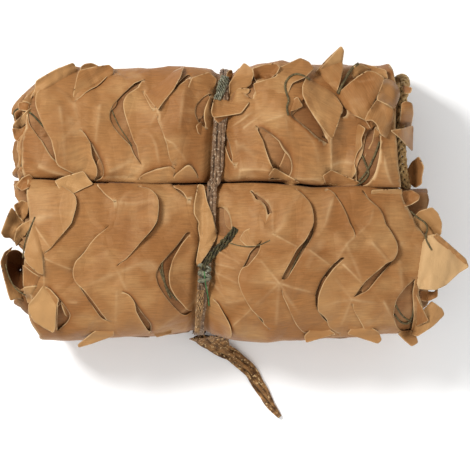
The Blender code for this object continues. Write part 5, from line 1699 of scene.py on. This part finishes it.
# %% Net cords
UP = np.array([0.0, 0.0, 1.0])
Strand = namedtuple("Strand", "cells diameter finish below", defaults=(CORD_OLIVE, True))
CORDS = (
    Strand(((163, 258), (162, 267), (164, 277), (166, 288), (171, 298)), 1.5),
    Strand(((160, 268), (163, 279), (169, 291), (177, 300)), 1.3),
    Strand(((204, 268), (205, 278), (206, 286), (208, 295), (209, 306)), 1.1, CORD_GREEN, below=False),
    Strand(((310, 80), (303, 76), (296, 74), (289, 77), (284, 85), (286, 94), (289, 101), (286, 108),
            (288, 116)), 1.7, below=False),
    Strand(((379, 142), (376, 151), (371, 163), (366, 173), (357, 183)), 1.8),
    Strand(((362, 156), (366, 166), (369, 174), (363, 182), (355, 186)), 1.8),
    Strand(((338, 94), (341, 87), (346, 78), (351, 69), (358, 64)), 2.4, below=False),
    Strand(((230, 243), (240, 246), (250, 247), (260, 245), (270, 240)), 0.9, below=False),
    Strand(((36, 217), (32, 226), (28, 236), (25, 247), (24, 258)), 1.2, below=False),
    Strand(((6, 264), (8, 274), (12, 283), (17, 290), (26, 295)), 1.1, below=False),
    Strand(((307, 240), (301, 250), (296, 259), (291, 270), (286, 282)), 1.0),
    Strand(((394, 314), (400, 322), (408, 325), (413, 317), (414, 304)), 1.6),
    Strand(((393, 300), (400, 314), (409, 321), (416, 324)), 1.4),
    Strand(((20, 121), (15, 118), (13, 114), (16, 109), (22, 109), (31, 113), (38, 120), (44, 127)),
           1.6, CORD_DARK),
    Strand(((410, 211), (418, 218), (425, 222), (428, 229), (424, 237), (431, 250)), 1.5, below=False),
    Strand(((110, 104), (114, 116), (120, 128), (127, 138), (132, 146)), 0.9),
)  # fmt: skip


def evened(rise, count):
    """A row of heights, each averaged with its neighbours."""
    return np.convolve(np.pad(rise, count // 2, mode="edge"), np.ones(count) / count, "valid")


def lay_strand(name, strand):
    """A round cord over the height map, or on the layer below it."""
    radius = strand.diameter * MM / 2
    line = rounded(on_grid(strand.cells), 0.006, 0.0012)
    heights = below_map if strand.below else top_map
    rise = laid_over(heights, line, 1.2, 0.016)
    path = np.column_stack([line, np.maximum(evened(rise, 9), rise - 0.0004) + 0.8 * radius])
    wide, out = frames_along(path, UP, False)
    size = np.full(len(path), 2 * radius)
    cord = joined(name, [sweep(path, wide, out, size, size, False, 8, 1.0)], strand.finish)
    length = float(arc_of(path)[-1])
    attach(cord, "root")
    return length


lengths = [lay_strand(f"net_cord_{number}", strand) for number, strand in enumerate(CORDS)]
print("cords:", len(lengths), "from", round(min(lengths) / MM), "to", round(max(lengths) / MM), "mm")

# %% [markdown]
# ## Strands at the tie
# Three small bundles lie along the strap: a dark green cord that runs to the knot, straw strands below it
# and grey ones at the far end. They twist as the strap does, so the same function makes them.

# %% Bands of loose strands at the tie
def strand_band(name, cells, width, thick, strands, turns, finish):
    """A flat bundle of strands over the height map."""
    line = rounded(on_grid(cells), 0.008, 0.0012)
    rise = laid_over(top_map, line, 1.0, 0.016)
    path = np.column_stack([line, evened(rise, 11) + thick * 0.5])
    sizes = width * (0.85 + 0.15 * np.sin(np.linspace(0, 5, len(path))))
    band = twisted_band(path, UP, False, sizes, thick, strands, turns, width / strands * 1.7)
    piece = joined(name, band, finish)
    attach(piece, "root")
    print(name, "of", strands, "strands")


GREEN_ROUTE = ((236, 228), (231, 236), (221, 246), (211, 256), (202, 270))
STRAW_ROUTE = ((201, 290), (200, 305), (198, 320), (197, 333))
TOP_ROUTE = ((225, 76), (223, 84), (220, 92), (217, 100))
strand_band("green_cord_band", GREEN_ROUTE, 0.0062, 0.0026, 5, 1.2, CORD_DARK)
strand_band("straw_strands", STRAW_ROUTE, 0.0064, 0.0022, 9, 1.3, STRAW)
strand_band("top_strands", TOP_ROUTE, 0.0080, 0.0030, 6, 1.4, KNOT_GREY)

# %% [markdown]
# ## The border rope
# The net's border is a braided rope. It follows the edge of the cloth, so it shows at the right end of the
# far roll. A braid is sets of strands that wind both ways and pass over and under each other: each
# strand is a helix whose radius rises and falls as it crosses the others.

# %% Braided rope
ROPE_DIAMETER = 0.0080
ROPE_STRANDS, ROPE_TURNS = 8, 42  # strands round it, and turns of each in a metre
ROPE_INSET = 0.0016 + 0.0012 + ROPE_DIAMETER / 2  # below the outer cloth and its swells


def braided(path, up, diameter, strands, turns_per_metre):
    """Strands of a round braid along a path, half of them winding each way."""
    wide, out = frames_along(path, up, False)
    arc = arc_of(path)
    strand_width, strand_thick = np.full(len(path), 0.36 * diameter), np.full(len(path), 0.20 * diameter)
    parts = []
    for strand in range(strands):
        way = 1 if strand % 2 else -1
        phase = way * 2 * math.pi * turns_per_metre * arc + 2 * math.pi * (strand // 2) / (strands // 2)
        weave = way * np.cos(strands / 2 * phase)
        radius = diameter * (0.36 + 0.045 * weave)
        line = path + wide * (radius * np.cos(phase))[:, None] + out * (radius * np.sin(phase))[:, None]
        away = wide * np.cos(phase)[:, None] + out * np.sin(phase)[:, None]
        across, away = frames_along(line, away, False)
        parts.append(sweep(line, across, away, strand_width, strand_thick, False, 6))
    return parts


def rope_path(count):
    """Round the right end of the far roll, under the outer cloth."""
    angles = np.radians(np.linspace(-48, 198, count))
    across = np.array([roll_point(FAR_ROLL, angle, ROPE_INSET) for angle in angles])
    x = FAR_RIGHT_END + 0.0095 + 0.0022 * np.sin(3 * angles) + 0.004 * smooth((angles - 2.4) / 1.0)
    return settle(np.stack([x, across[:, 0], across[:, 1]], axis=1))


path = rope_path(260)
roll_middle = np.array([0.132, FAR_ROLL.centre_y, FAR_ROLL.half_height])
rope_strands = braided(path, path - roll_middle, ROPE_DIAMETER, ROPE_STRANDS, ROPE_TURNS)
rope = joined("border_rope", rope_strands, ROPE_STRAW)
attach(rope, "root")
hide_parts("edge_rope")
print("rope:", len(rope.data.polygons), "faces")
